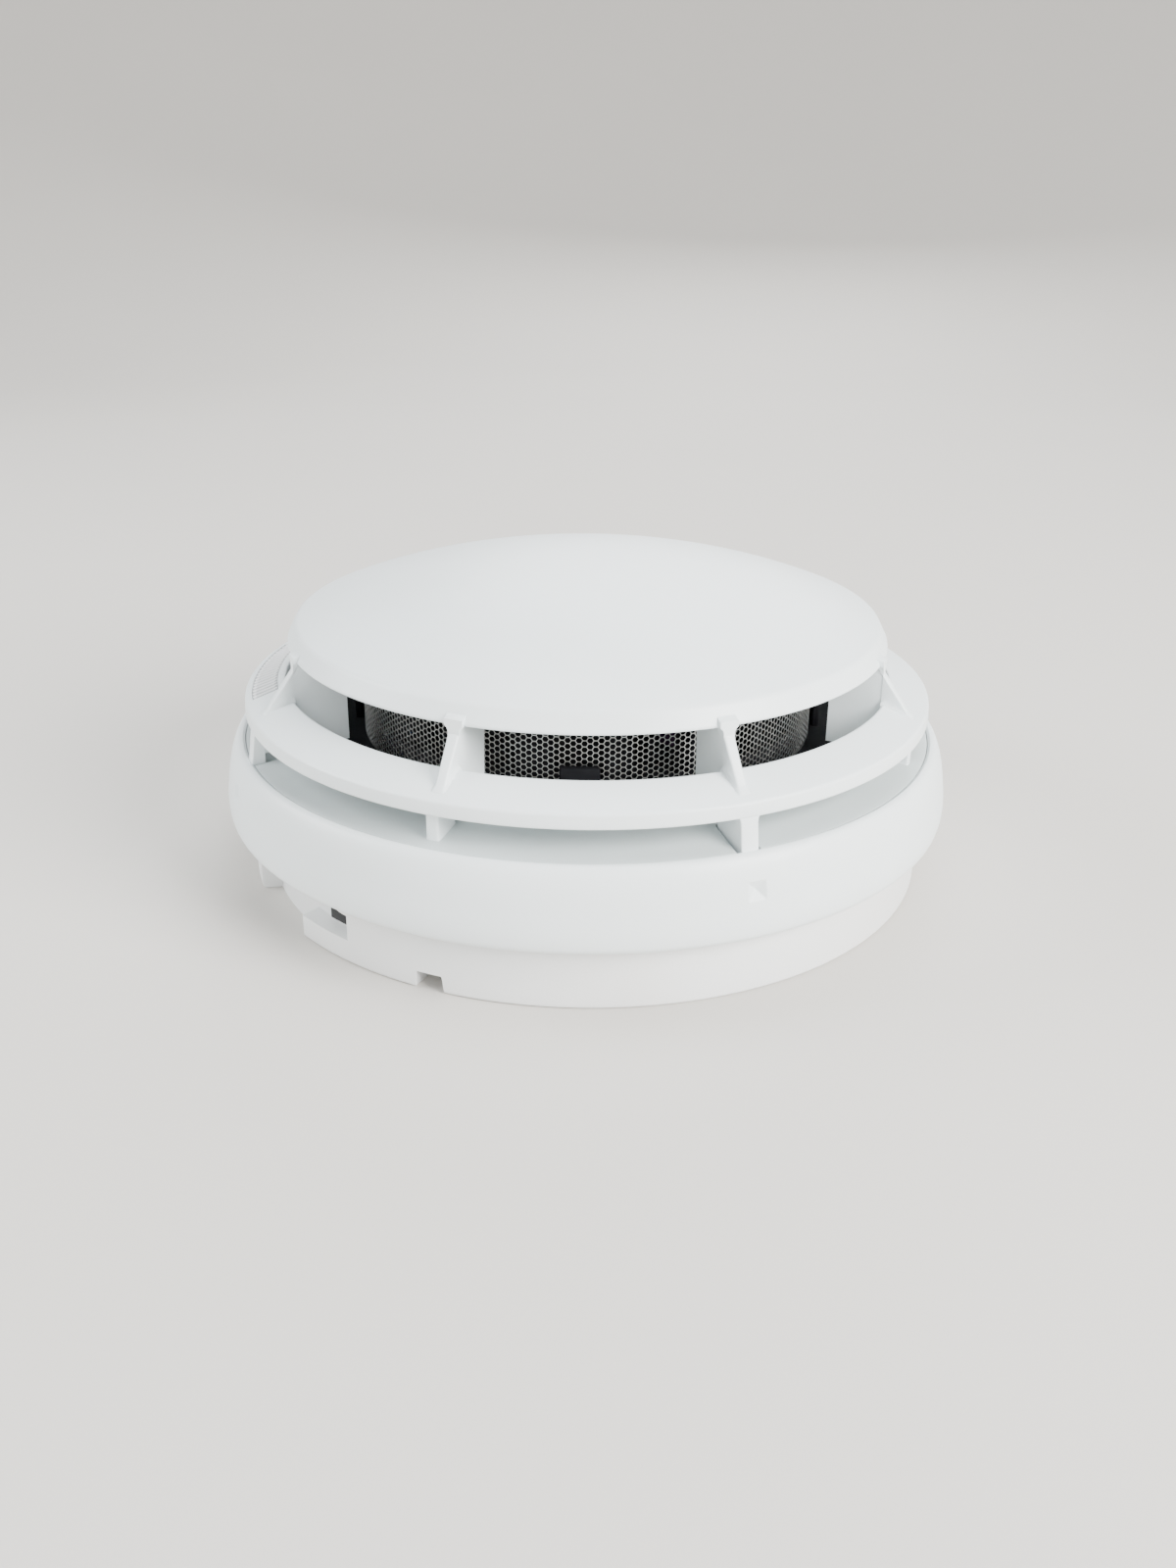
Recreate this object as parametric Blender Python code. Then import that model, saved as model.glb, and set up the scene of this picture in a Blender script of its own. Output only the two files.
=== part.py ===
"""Ceiling smoke detector: optical detector head on its twist-lock mounting base.

The part stands face up on its base, with the origin at the middle of the mounting face and +Z along
the detector's axis. Bearings are degrees counted from -Y towards +X.
"""

import math

import bpy
import bmesh
from mathutils import Matrix, Vector

MM = 0.001  # the design below is written in millimetres, and the meshes are made in metres

# Outer cover
COVER_RADIUS = 55.4
DOME_RADIUS = 44.0
DOME_EDGE_HEIGHT = 37.95
DOME_RISE = 7.7
DOME_POWER = 2.4
DOME_WALL = 1.9
CAP_RIM_RADIUS = 45.2
CAP_RIM_HEIGHT = 35.2
RING_OUTER_RADIUS = 51.9
RING_INNER_RADIUS = 45.65
RING_BAND_LOW = 25.5
RING_BAND_TOP = 27.6
RING_SILL_HEIGHT = 29.8
RING_WALL = 1.8
SKIRT_LOW = 9.6
SKIRT_LIP_HEIGHT = 21.3
SKIRT_LIP_RADIUS = 52.25
SKIRT_BORE = 52.3
RIB_COUNT = 8
FIRST_RIB = 22.5
RIB_THICKNESS = 1.5
RIB_INNER_RADIUS = 38.0
WIDE_STRUT = 2.5
NARROW_STRUT = 1.8
NARROW_STRUT_TURN = -1.0
STRUT_LOW = 14.0
DIMPLE_HEIGHT = 16.7
DIMPLE_RADIUS = 54.85
DIMPLE_SIZE = 2.6
DIMPLE_DEPTH = 0.9
LENS_BEARING = -90.0
LENS_HALF_ANGLE = 14.6
LENS_RADII = (47.2, 50.4)

# Detector body
SHELF_RADIUS = 51.85
SHELF_HEIGHT = 21.1
SHELF_INNER_HEIGHT = 22.6
DRUM_RADIUS = 44.5
DRUM_BORE = 43.0
BODY_FLOOR_LOW = 11.0
BODY_FLOOR_TOP = 12.6
BAYONET_RADII = (40.3, 42.0)
LUG_RADIUS = 45.5
LUG_HEIGHTS = (5.4, 7.2)
BOARD_LOW = 13.9
BOARD_TOP = 15.5
BOARD_RADIUS = 42.3
BOARD_SCREW_RADIUS = 36.0
BOARD_SCREW_BEARINGS = (0.0, 120.0, 240.0)

# Optical chamber
CHAMBER_FLOOR_LOW = 21.0
CHAMBER_FLOOR_TOP = 22.3
CHAMBER_RADIUS = 42.6
FLANGE_LOW = 19.7
FLANGE_TOP = 20.9
SCREEN_RADIUS = 34.4
SCREEN_WALL = 0.4
SCREEN_HEIGHTS = (21.2, 35.0)
LID_HEIGHTS = (33.9, 35.3, 36.3)
VANE_COUNT = 16
VANE_TOP = 33.6
CLIP_TAB_BEARINGS = (-2.2, 87.8, 177.8, 267.8)
FOOT_BEARINGS = (60.0, 180.0, 300.0)
OPTIC_BEARINGS = {"emitter": 150.0, "receiver": 30.0}
OPTIC_HEIGHT = 26.6

# Mounting base
BASE_RADIUS = 52.0
BASE_RECESS_RADIUS = 49.2
BASE_WALL_BORE = 47.3
BASE_TOP = 10.5
BASE_FLOOR_LOW = 2.6
BASE_FLOOR_TOP = 4.2
CABLE_HOLE_RADIUS = 14.0
RECESS_BEARINGS = (-68.4, -50.7)
CHANNEL_END = -39.0
CHANNEL_LOW = 3.7
TOOL_HOLE_BEARINGS = (-44.4, -39.0)
TOOL_HOLE_HEIGHTS = (4.3, 7.2)
NOTCH_BEARINGS = (-26.4, -21.4)
NOTCH_TOP = 2.6
TAB_BEARINGS = (20.0, 140.0, 260.0)
TAB_HALF_ANGLE = 7.0
TAB_HEIGHTS = (7.6, 9.4)
TWIST_ANGLE = 15.0
FIXING_SLOT_BEARINGS = (0.0, 180.0)

# Terminals, one at each of these bearings
TERMINAL_BEARINGS = (15.0, 105.0, 195.0, 285.0)
TERMINAL_RADIUS = 33.2
STRIP_HEIGHTS = (6.2, 6.9)
SCREW_OFFSET = 29.0

# Lock latch
LATCH_PIVOT_RADIUS = 45.0
LATCH_PIVOT_BEARING = -62.0
LATCH_HEIGHTS = (4.6, 7.4)

GAP = 0.3  # left between neighbours
ROUND_STEPS = 48


def polar(radius, bearing, height=0.0):
    """Point at a radius and a bearing from the detector's axis."""
    angle = math.radians(bearing)
    return Vector((radius * math.sin(angle), -radius * math.cos(angle), height))


def object_from(name, points, faces):
    """Mesh object from points in millimetres, with its faces turned outwards."""
    mesh = bpy.data.meshes.new(name)
    mesh.from_pydata([point * MM for point in points], [], faces)
    shape = bmesh.new()
    shape.from_mesh(mesh)
    bmesh.ops.recalc_face_normals(shape, faces=shape.faces)
    shape.to_mesh(mesh)
    shape.free()
    obj = bpy.data.objects.new(name, mesh)
    bpy.context.scene.collection.objects.link(obj)
    return obj


def turned(name, outline, steps=ROUND_STEPS):
    """Closed outline of (radius, height) turned a full round; an outline on the axis ends in poles."""
    points = []
    columns = []
    for radius, height in outline:
        if radius == 0.0:
            points.append(Vector((0.0, 0.0, height)))
            columns.append([len(points) - 1] * steps)
            continue
        start = len(points)
        points.extend(polar(radius, 360.0 * step / steps, height) for step in range(steps))
        columns.append(list(range(start, start + steps)))
    faces = []
    for lower, upper in zip(columns, columns[1:] + columns[:1]):
        for step in range(steps):
            after = (step + 1) % steps
            corners = [lower[step], lower[after], upper[after], upper[step]]
            face = [corner for place, corner in enumerate(corners) if corner not in corners[:place]]
            if len(face) > 2:
                faces.append(face)
    return object_from(name, points, faces)


def sector(name, outline, start, end, steps=8):
    """Closed outline of (radius, height) turned between two bearings, with flat ends."""
    count = len(outline)
    points = []
    for step in range(steps + 1):
        bearing = start + (end - start) * step / steps
        points.extend(polar(radius, bearing, height) for radius, height in outline)
    faces = [list(range(count)), [steps * count + corner for corner in range(count)]]
    for step in range(steps):
        for corner in range(count):
            after = (corner + 1) % count
            near = step * count
            far = near + count
            faces.append([near + corner, near + after, far + after, far + corner])
    return object_from(name, points, faces)


def ring_block(name, radii, heights, start, end, steps=6):
    """Curved block between two radii, two heights and two bearings."""
    (inner, outer), (low, high) = radii, heights
    outline = [(inner, low), (outer, low), (outer, high), (inner, high)]
    return sector(name, outline, start, end, steps)


def radial_plate(name, outline, bearing, thickness):
    """Flat plate that stands on a bearing, from a closed outline of (radius, height)."""
    side = polar(1.0, bearing + 90.0) * (thickness / 2.0)
    count = len(outline)
    points = [polar(radius, bearing, height) + side for radius, height in outline]
    points += [polar(radius, bearing, height) - side for radius, height in outline]
    faces = [list(range(count)), list(range(count, 2 * count))]
    for corner in range(count):
        after = (corner + 1) % count
        faces.append([corner, after, count + after, count + corner])
    return object_from(name, points, faces)


def block(name, centre, bearing, radial, tangential, heights):
    """Box centred on a point, with its sides along and across a bearing."""
    along = polar(1.0, bearing) * (radial / 2.0)
    across = polar(1.0, bearing + 90.0) * (tangential / 2.0)
    points = []
    for height in heights:
        middle = Vector((centre.x, centre.y, height))
        points += [middle + along + across, middle - along + across,
                   middle - along - across, middle + along - across]
    faces = [(0, 1, 2, 3), (4, 5, 6, 7), (0, 1, 5, 4), (1, 2, 6, 5), (2, 3, 7, 6), (3, 0, 4, 7)]
    return object_from(name, points, faces)


def pillar(name, outline, centre, steps=16):
    """Outline of (radius, height) turned about the vertical line through a point."""
    obj = turned(name, outline, steps)
    obj.data.transform(Matrix.Translation(Vector((centre.x, centre.y, 0.0)) * MM))
    return obj


def cylinder(name, radius, heights, centre, steps=16):
    """Upright cylinder about the vertical line through a point."""
    return prism(name, [centre + polar(radius, 360.0 * step / steps) for step in range(steps)], heights)


def barrel(name, outline, start, bearing, steps=14):
    """Outline of (radius, distance) turned about a level line that runs from a point along a bearing."""
    obj = turned(name, outline, steps)
    obj.data.transform(Matrix.Rotation(math.radians(90.0), 4, 'X'))
    obj.data.transform(Matrix.Rotation(math.radians(bearing), 4, 'Z'))
    obj.data.transform(Matrix.Translation(start * MM))
    return obj


def prism(name, outline, heights):
    """Upright prism on a closed outline of level points."""
    count = len(outline)
    points = [Vector((point.x, point.y, height)) for height in heights for point in outline]
    faces = [list(range(count)), list(range(count, 2 * count))]
    for corner in range(count):
        after = (corner + 1) % count
        faces.append([corner, after, count + after, count + corner])
    return object_from(name, points, faces)


def combine(target, operation, others):
    """Boolean of a target with other objects, which are used up."""
    for other in others:
        modifier = target.modifiers.new(operation.title(), 'BOOLEAN')
        modifier.operation = operation
        modifier.solver = 'EXACT'
        modifier.object = other
    evaluated = target.evaluated_get(bpy.context.evaluated_depsgraph_get())
    mesh = bpy.data.meshes.new_from_object(evaluated)
    target.modifiers.clear()
    target.data = mesh
    for other in others:
        bpy.data.objects.remove(other)
    return target


def joined(target, others):
    """Target with other shapes added to it."""
    return combine(target, 'UNION', others)


def cut(target, others):
    """Target with other shapes taken out of it."""
    return combine(target, 'DIFFERENCE', others)


def finish(obj, material, parent=None):
    """Material, smooth shading with sharp edges, and the joint that the piece hangs on."""
    obj.data.materials.clear()
    obj.data.materials.append(material)
    obj.data.shade_smooth()
    obj.data.set_sharp_from_angle(angle=math.radians(30.0))
    obj.parent = parent
    return obj


def material(name, colour, roughness, metallic=0.0, alpha=1.0):
    """Principled material of one finish."""
    made = bpy.data.materials.new(name)
    made.use_nodes = True
    shader = made.node_tree.nodes["Principled BSDF"]
    shader.inputs["Base Color"].default_value = (*colour, 1.0)
    shader.inputs["Roughness"].default_value = roughness
    shader.inputs["Metallic"].default_value = metallic
    shader.inputs["Alpha"].default_value = alpha
    return made


def make_materials():
    """Every finish of the detector, by name."""
    return {
        "cover_plastic": material("cover_plastic", (0.78, 0.81, 0.80), 0.42),
        "body_plastic": material("body_plastic", (0.76, 0.79, 0.78), 0.48),
        "base_plastic": material("base_plastic", (0.74, 0.77, 0.76), 0.50),
        "latch_plastic": material("latch_plastic", (0.06, 0.06, 0.065), 0.50),
        "clear_plastic": material("clear_plastic", (0.86, 0.90, 0.90), 0.18, alpha=0.6),
        "black_plastic": material("black_plastic", (0.012, 0.013, 0.015), 0.62),
        "screen_steel": material("screen_steel", (0.46, 0.45, 0.42), 0.34, 1.0),
        "seal_rubber": material("seal_rubber", (0.03, 0.03, 0.03), 0.85),
        "contact_brass": material("contact_brass", (0.72, 0.60, 0.34), 0.30, 1.0),
        "screw_steel": material("screw_steel", (0.62, 0.62, 0.60), 0.32, 1.0),
        "board_laminate": material("board_laminate", (0.03, 0.16, 0.07), 0.45),
        "chip_black": material("chip_black", (0.02, 0.02, 0.02), 0.55),
        "can_aluminium": material("can_aluminium", (0.70, 0.71, 0.72), 0.28, 1.0),
        "clear_glass": material("clear_glass", (0.80, 0.88, 0.84), 0.06, alpha=0.5),
        "tinted_epoxy": material("tinted_epoxy", (0.05, 0.04, 0.07), 0.12),
        "red_epoxy": material("red_epoxy", (0.60, 0.03, 0.02), 0.20),
    }


def joint_empty(name, parent=None):
    """Empty on the detector's axis that carries one moving body."""
    empty = bpy.data.objects.new(name, None)
    bpy.context.scene.collection.objects.link(empty)
    empty.empty_display_size = 0.01
    empty.parent = parent
    return empty


def dome_height(radius):
    """Height of the dome's outer face at a radius."""
    return DOME_EDGE_HEIGHT + DOME_RISE * (1.0 - (radius / DOME_RADIUS) ** DOME_POWER)


def ring_top(radius):
    """Height of the middle ring's sloped top at a radius."""
    outer = RING_OUTER_RADIUS - 0.15
    share = (radius - RING_INNER_RADIUS) / (outer - RING_INNER_RADIUS)
    return RING_SILL_HEIGHT + (RING_BAND_TOP - RING_SILL_HEIGHT) * share


def rib_bearings():
    """Bearings of the ribs and of the struts below them."""
    return [FIRST_RIB + 360.0 / RIB_COUNT * index for index in range(RIB_COUNT)]


def dome_shell():
    """Domed cap with its leaning rim."""
    outer_radii = [6.0, 12.0, 18.0, 24.0, 30.0, 35.0, 39.0, 42.0]
    outline = [(0.0, dome_height(0.0))]
    outline += [(radius, dome_height(radius)) for radius in outer_radii]
    outline += [(43.3, 38.2), (43.9, 37.7), (CAP_RIM_RADIUS, CAP_RIM_HEIGHT)]
    outline += [(CAP_RIM_RADIUS - 1.7, CAP_RIM_HEIGHT), (42.2, 36.7)]
    inner_radii = [39.0, 34.0, 26.0, 16.0, 8.0]
    outline += [(radius, dome_height(radius) - DOME_WALL) for radius in inner_radii]
    outline += [(0.0, dome_height(0.0) - DOME_WALL)]
    return turned("outer_cover", outline)


def middle_ring():
    """Sloped ring between the two gaps, with its outer band."""
    outline = [
        (RING_OUTER_RADIUS, RING_BAND_LOW),
        (RING_OUTER_RADIUS - 0.15, RING_BAND_TOP),
        (RING_INNER_RADIUS, RING_SILL_HEIGHT),
        (RING_INNER_RADIUS, RING_SILL_HEIGHT - RING_WALL),
        (RING_OUTER_RADIUS - 1.9, RING_BAND_TOP - 1.1),
        (RING_OUTER_RADIUS - 1.7, RING_BAND_LOW),
    ]
    return turned("middle_ring", outline)


def skirt():
    """Rounded outer wall of the cover."""
    outline = [
        (SKIRT_LIP_RADIUS, SKIRT_LIP_HEIGHT - 0.3),
        (SKIRT_LIP_RADIUS + 0.4, SKIRT_LIP_HEIGHT),
        (53.1, 21.1),
        (53.6, 20.6),
        (54.15, 19.5),
        (54.55, 18.2),
        (54.85, 16.8),
        (55.05, 15.4),
        (55.25, 14.2),
        (COVER_RADIUS, 12.8),
        (COVER_RADIUS, 11.9),
        (55.3, 10.9),
        (55.0, 10.1),
        (54.5, SKIRT_LOW),
        (SKIRT_BORE, SKIRT_LOW),
        (SKIRT_BORE, 10.7),
        (53.0, 11.6),
        (53.5, 13.0),
        (53.4, 15.5),
        (53.1, 17.8),
        (52.6, 19.2),
        (SKIRT_LIP_RADIUS, 20.0),
    ]
    return turned("skirt", outline)


def upper_rib(bearing):
    """Plate from the dome down to the middle ring, with its sloped outer fin."""
    outline = [
        (RIB_INNER_RADIUS, 27.3),
        (49.5, 27.3),
        (49.9, 28.1),
        (44.9, 35.5),
        (43.0, 37.7),
        (RIB_INNER_RADIUS, 39.2),
    ]
    return radial_plate("rib", outline, bearing, RIB_THICKNESS)


def long_strut(bearing):
    """Wide plate from the middle ring down through the shelf's notch to the skirt."""
    outline = [
        (45.9, STRUT_LOW),
        (53.0, STRUT_LOW),
        (54.1, 14.8),
        (54.0, 17.0),
        (53.0, 20.2),
        (52.4, 21.1),
        (51.75, 25.6),
        (51.2, 26.6),
        (45.9, 28.6),
    ]
    return radial_plate("strut", outline, bearing, WIDE_STRUT)


def short_strut(bearing):
    """Narrow plate, set back from the rim, from the middle ring to just above the body's shelf."""
    outline = [(45.9, 22.45), (50.3, 21.7), (50.3, 27.0), (45.9, 28.6)]
    return radial_plate("strut", outline, bearing + NARROW_STRUT_TURN, NARROW_STRUT)


def dimple(bearing):
    """Cutter for the small four-sided pit in the skirt."""
    half = DIMPLE_SIZE / 2.0
    across = polar(1.0, bearing + 90.0)
    stand_off = 0.6
    face = DIMPLE_RADIUS + stand_off
    spread = half * (1.0 + stand_off / DIMPLE_DEPTH)
    points = []
    for side, rise in ((-1, -1), (1, -1), (1, 1), (-1, 1)):
        points.append(polar(face, bearing, DIMPLE_HEIGHT + rise * spread) + across * side * spread)
    points.append(polar(DIMPLE_RADIUS - DIMPLE_DEPTH, bearing, DIMPLE_HEIGHT))
    faces = [(0, 1, 2, 3), (0, 1, 4), (1, 2, 4), (2, 3, 4), (3, 0, 4)]
    return object_from("dimple", points, faces)


def make_outer_cover():
    """Dome, ribs, middle ring, struts and skirt in one moulding."""
    bearings = rib_bearings()
    struts = [long_strut(bearing) for bearing in bearings[::2]]
    struts += [short_strut(bearing) for bearing in bearings[1::2]]
    cover = joined(dome_shell(), [middle_ring(), skirt()] + struts + [upper_rib(b) for b in bearings])
    inner, outer = LENS_RADII
    opening = ring_block("lens_opening", (inner - GAP, outer + GAP), (24.0, 31.0),
                         LENS_BEARING - LENS_HALF_ANGLE - 0.4, LENS_BEARING + LENS_HALF_ANGLE + 0.4)
    return cut(cover, [opening] + [dimple(bearing) for bearing in bearings[::2]])


def make_indicator_lens():
    """Window in the middle ring with the light pipe that carries the status LED's light to it."""
    inner, outer = LENS_RADII
    below_ring = 0.15
    outline = [(inner, 27.2), (outer, 26.0), (outer, ring_top(outer) - below_ring),
               (inner, ring_top(inner) - below_ring)]
    start, end = LENS_BEARING - LENS_HALF_ANGLE, LENS_BEARING + LENS_HALF_ANGLE
    lens = sector("indicator_lens", outline, start, end, 10)
    arm = block("arm", polar(44.45, LENS_BEARING), LENS_BEARING, 8.1, 3.2, (25.5, 27.0))
    leg = block("leg", polar(40.6, LENS_BEARING), LENS_BEARING, 1.6, 3.0, (20.0, 26.9))
    return joined(lens, [arm, leg])


def make_detector_body():
    """Spool-shaped body: sloped top flange, drum, floor, seal groove and bayonet ring."""
    outline = [
        (0.0, BODY_FLOOR_LOW),
        (BAYONET_RADII[0], BODY_FLOOR_LOW),
        (BAYONET_RADII[0], LUG_HEIGHTS[0]),
        (BAYONET_RADII[1], LUG_HEIGHTS[0]),
        (BAYONET_RADII[1], BODY_FLOOR_LOW),
        (47.4, BODY_FLOOR_LOW),
        (47.4, 12.5),
        (50.9, 12.5),
        (50.9, BODY_FLOOR_LOW),
        (51.4, BODY_FLOOR_LOW),
        (51.4, 13.4),
        (DRUM_RADIUS, 13.4),
        (DRUM_RADIUS, 20.4),
        (45.6, 20.7),
        (SHELF_RADIUS, SHELF_HEIGHT - 1.4),
        (SHELF_RADIUS, SHELF_HEIGHT),
        (DRUM_BORE, SHELF_INNER_HEIGHT),
        (DRUM_BORE, BODY_FLOOR_TOP),
        (0.0, BODY_FLOOR_TOP),
    ]
    body = turned("detector_body", outline)
    extras = []
    for bearing in TAB_BEARINGS:
        middle = bearing + TWIST_ANGLE
        extras.append(ring_block("lug", (BAYONET_RADII[1] - 0.9, LUG_RADIUS), LUG_HEIGHTS,
                                 middle - TAB_HALF_ANGLE, middle + TAB_HALF_ANGLE, 4))
    extras.append(ring_block("lock_lug", (46.0, 46.9), (8.0, BODY_FLOOR_LOW + 0.6), -31.5, -28.5, 2))
    post_heights = (BODY_FLOOR_TOP - 0.5, BOARD_LOW - GAP)
    for bearing in BOARD_SCREW_BEARINGS:
        extras.append(cylinder("post", 2.6, post_heights, polar(BOARD_SCREW_RADIUS, bearing)))
    for bearing in rib_bearings()[::2]:
        extras.append(ring_block("snap", (50.6, 52.0), (11.9, 13.1), bearing - 3.0, bearing + 3.0, 2))
    joined(body, extras)
    cutters = []
    for bearing in rib_bearings()[::2]:
        width = WIDE_STRUT + 2.0 * 0.35
        cutters.append(block("strut_notch", polar(50.4, bearing), bearing, 9.8, width, (18.0, 24.0)))
    for bearing in TERMINAL_BEARINGS:
        entry = bearing + TWIST_ANGLE
        cutters.append(block("blade_slot", polar(33.0, entry), entry, 1.4, 6.6, (10.0, 14.0)))
    for bearing in BOARD_SCREW_BEARINGS:
        cutters.append(cylinder("screw_bore", 1.35, (11.7, 15.0), polar(BOARD_SCREW_RADIUS, bearing)))
    return cut(body, cutters)


def make_seal_ring():
    """Flat rubber ring held loosely in the body's groove, above the base's wall."""
    return turned("seal_ring", [(47.7, 10.8), (50.6, 10.8), (50.6, 12.2), (47.7, 12.2)])


def make_contact_blade(number, bearing):
    """Knife contact under the body that slides on to the base's strip as the head is turned."""
    entry = bearing + TWIST_ANGLE
    return block(f"contact_blade_{number}", polar(33.0, entry), entry, 0.8, 6.0, (7.2, BOARD_LOW - GAP))


def make_circuit_board():
    """Round board with three screw holes."""
    board = cylinder("circuit_board", BOARD_RADIUS, (BOARD_LOW, BOARD_TOP), Vector(), 48)
    holes = []
    heights = (BOARD_LOW - 1.0, BOARD_TOP + 1.0)
    for bearing in BOARD_SCREW_BEARINGS:
        holes.append(cylinder("hole", 1.35, heights, polar(BOARD_SCREW_RADIUS, bearing)))
    return cut(board, holes)


def make_board_screw(number, bearing):
    """Pan-head screw with a cross recess."""
    outline = [(0.0, 12.1), (1.0, 12.1), (1.0, 15.8), (2.3, 15.8), (2.3, 16.6), (1.7, 17.2), (0.0, 17.2)]
    centre = polar(BOARD_SCREW_RADIUS, bearing)
    screw = pillar(f"board_screw_{number}", outline, centre, 12)
    slots = [block("slot", centre, bearing + turn, 2.4, 0.5, (16.5, 18.0)) for turn in (0.0, 90.0)]
    return cut(screw, slots)


def vane(bearing):
    """Bent wall of the labyrinth that stops light and lets smoke through."""
    path = [polar(31.4, bearing), polar(28.4, bearing + 7.5), polar(25.6, bearing + 1.5)]
    half = 0.55
    left, right = [], []
    for index, point in enumerate(path):
        before = path[max(index - 1, 0)]
        after = path[min(index + 1, len(path) - 1)]
        along = (after - before).normalized()
        side = Vector((-along.y, along.x, 0.0)) * half
        left.append(point + side)
        right.append(point - side)
    return prism("vane", left + right[::-1], (CHAMBER_FLOOR_TOP - 0.6, VANE_TOP))


def make_chamber_base():
    """Black floor of the optical chamber with its vanes, screen seat, clip tabs and feet."""
    outline = [
        (0.0, CHAMBER_FLOOR_LOW),
        (32.2, CHAMBER_FLOOR_LOW),
        (32.2, FLANGE_LOW),
        (CHAMBER_RADIUS, FLANGE_LOW),
        (CHAMBER_RADIUS, FLANGE_TOP),
        (33.6, FLANGE_TOP),
        (33.6, 24.4),
        (32.7, 24.4),
        (32.7, CHAMBER_FLOOR_TOP),
        (0.0, CHAMBER_FLOOR_TOP),
    ]
    base = turned("chamber_base", outline)
    extras = [vane(360.0 / VANE_COUNT * index + 4.0) for index in range(VANE_COUNT)]
    for bearing in CLIP_TAB_BEARINGS:
        extras.append(ring_block("clip_tab", (34.8, 35.9), (20.4, 27.0), bearing - 4.4, bearing + 4.4, 4))
    foot_heights = (BOARD_TOP + GAP, FLANGE_LOW + 0.5)
    for bearing in FOOT_BEARINGS:
        extras.append(cylinder("foot", 2.0, foot_heights, polar(37.5, bearing), 12))
    joined(base, extras)
    passage = block("light_passage", polar(41.6, LENS_BEARING), LENS_BEARING, 4.4, 4.0, (18.0, 23.0))
    return cut(base, [passage])


def make_insect_screen():
    """Plain thin ring that carries the place and size of the perforated screen."""
    low, high = SCREEN_HEIGHTS
    inner = SCREEN_RADIUS - SCREEN_WALL
    outline = [(inner, low), (SCREEN_RADIUS, low), (SCREEN_RADIUS, high), (inner, high)]
    return turned("insect_screen", outline)


def make_chamber_lid():
    """Black lid that closes the chamber above the vanes and holds the screen's top edge."""
    low, shoulder, top = LID_HEIGHTS
    outline = [(0.0, low), (33.6, low), (33.6, shoulder), (34.9, shoulder), (34.9, top - 0.3),
               (34.6, top), (0.0, top)]
    return turned("chamber_lid", outline)


def make_optic_holder(name, bearing):
    """Black block that aims one optical part at the middle of the chamber."""
    holder = block(name, polar(19.0, bearing), bearing, 10.0, 8.0, (CHAMBER_FLOOR_TOP + GAP, 30.2))
    bore = [(0.0, -1.0), (2.8, -1.0), (2.8, 9.0), (0.0, 9.0)]
    aperture = [(0.0, 0.0), (1.6, 0.0), (1.6, 14.0), (0.0, 14.0)]
    start = polar(24.2, bearing, OPTIC_HEIGHT)
    return cut(holder, [barrel("bore", bore, start, bearing + 180.0),
                        barrel("aperture", aperture, start, bearing + 180.0)])


def make_optic(name, bearing):
    """Round-nosed optical part, 5 mm in diameter, in its holder's bore."""
    outline = [(0.0, 0.0), (2.5, 0.0), (2.5, 5.0), (2.3, 6.4), (1.6, 7.4), (0.8, 7.9), (0.0, 8.0)]
    return barrel(name, outline, polar(23.8, bearing, OPTIC_HEIGHT), bearing + 180.0)


def make_status_led():
    """Small round-nosed LED under the light pipe's leg."""
    outline = [(0.0, 15.8), (1.5, 15.8), (1.5, 18.2), (1.1, 19.2), (0.0, 19.6)]
    return pillar("status_led", outline, polar(40.4, LENS_BEARING), 12)


def make_reed_switch():
    """Glass reed switch for the magnet test, lying across the board near its edge."""
    outline = [(0.0, 0.0), (0.7, 0.0), (1.1, 0.6), (1.1, 13.4), (0.7, 14.0), (0.0, 14.0)]
    middle = polar(37.0, 90.0, 17.0)
    return barrel("reed_switch", outline, middle - polar(7.0, 180.0), 180.0, 12)


def make_board_parts():
    """Microcontroller, surge suppressor and smoothing capacitor on the board."""
    low = BOARD_TOP + GAP
    chip = block("microcontroller", polar(12.0, 20.0), 20.0, 7.0, 7.0, (low, low + 1.2))
    suppressor = block("surge_suppressor", polar(26.0, 255.0), 255.0, 5.9, 7.9, (low, low + 2.3))
    can = [(0.0, low), (3.1, low), (3.15, low + 0.5), (2.95, low + 0.9), (3.15, low + 1.3),
           (3.15, low + 4.4), (2.8, low + 4.7), (0.0, low + 4.7)]
    capacitor = pillar("smoothing_capacitor", can, polar(25.0, 150.0), 20)
    return chip, suppressor, capacitor


def bayonet_tab(bearing):
    """Tab inside the base's wall that a lug of the head passes under."""
    start, end = bearing - TAB_HALF_ANGLE, bearing + TAB_HALF_ANGLE
    return ring_block("tab", (43.2, 48.2), TAB_HEIGHTS, start, end, 4)


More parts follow.
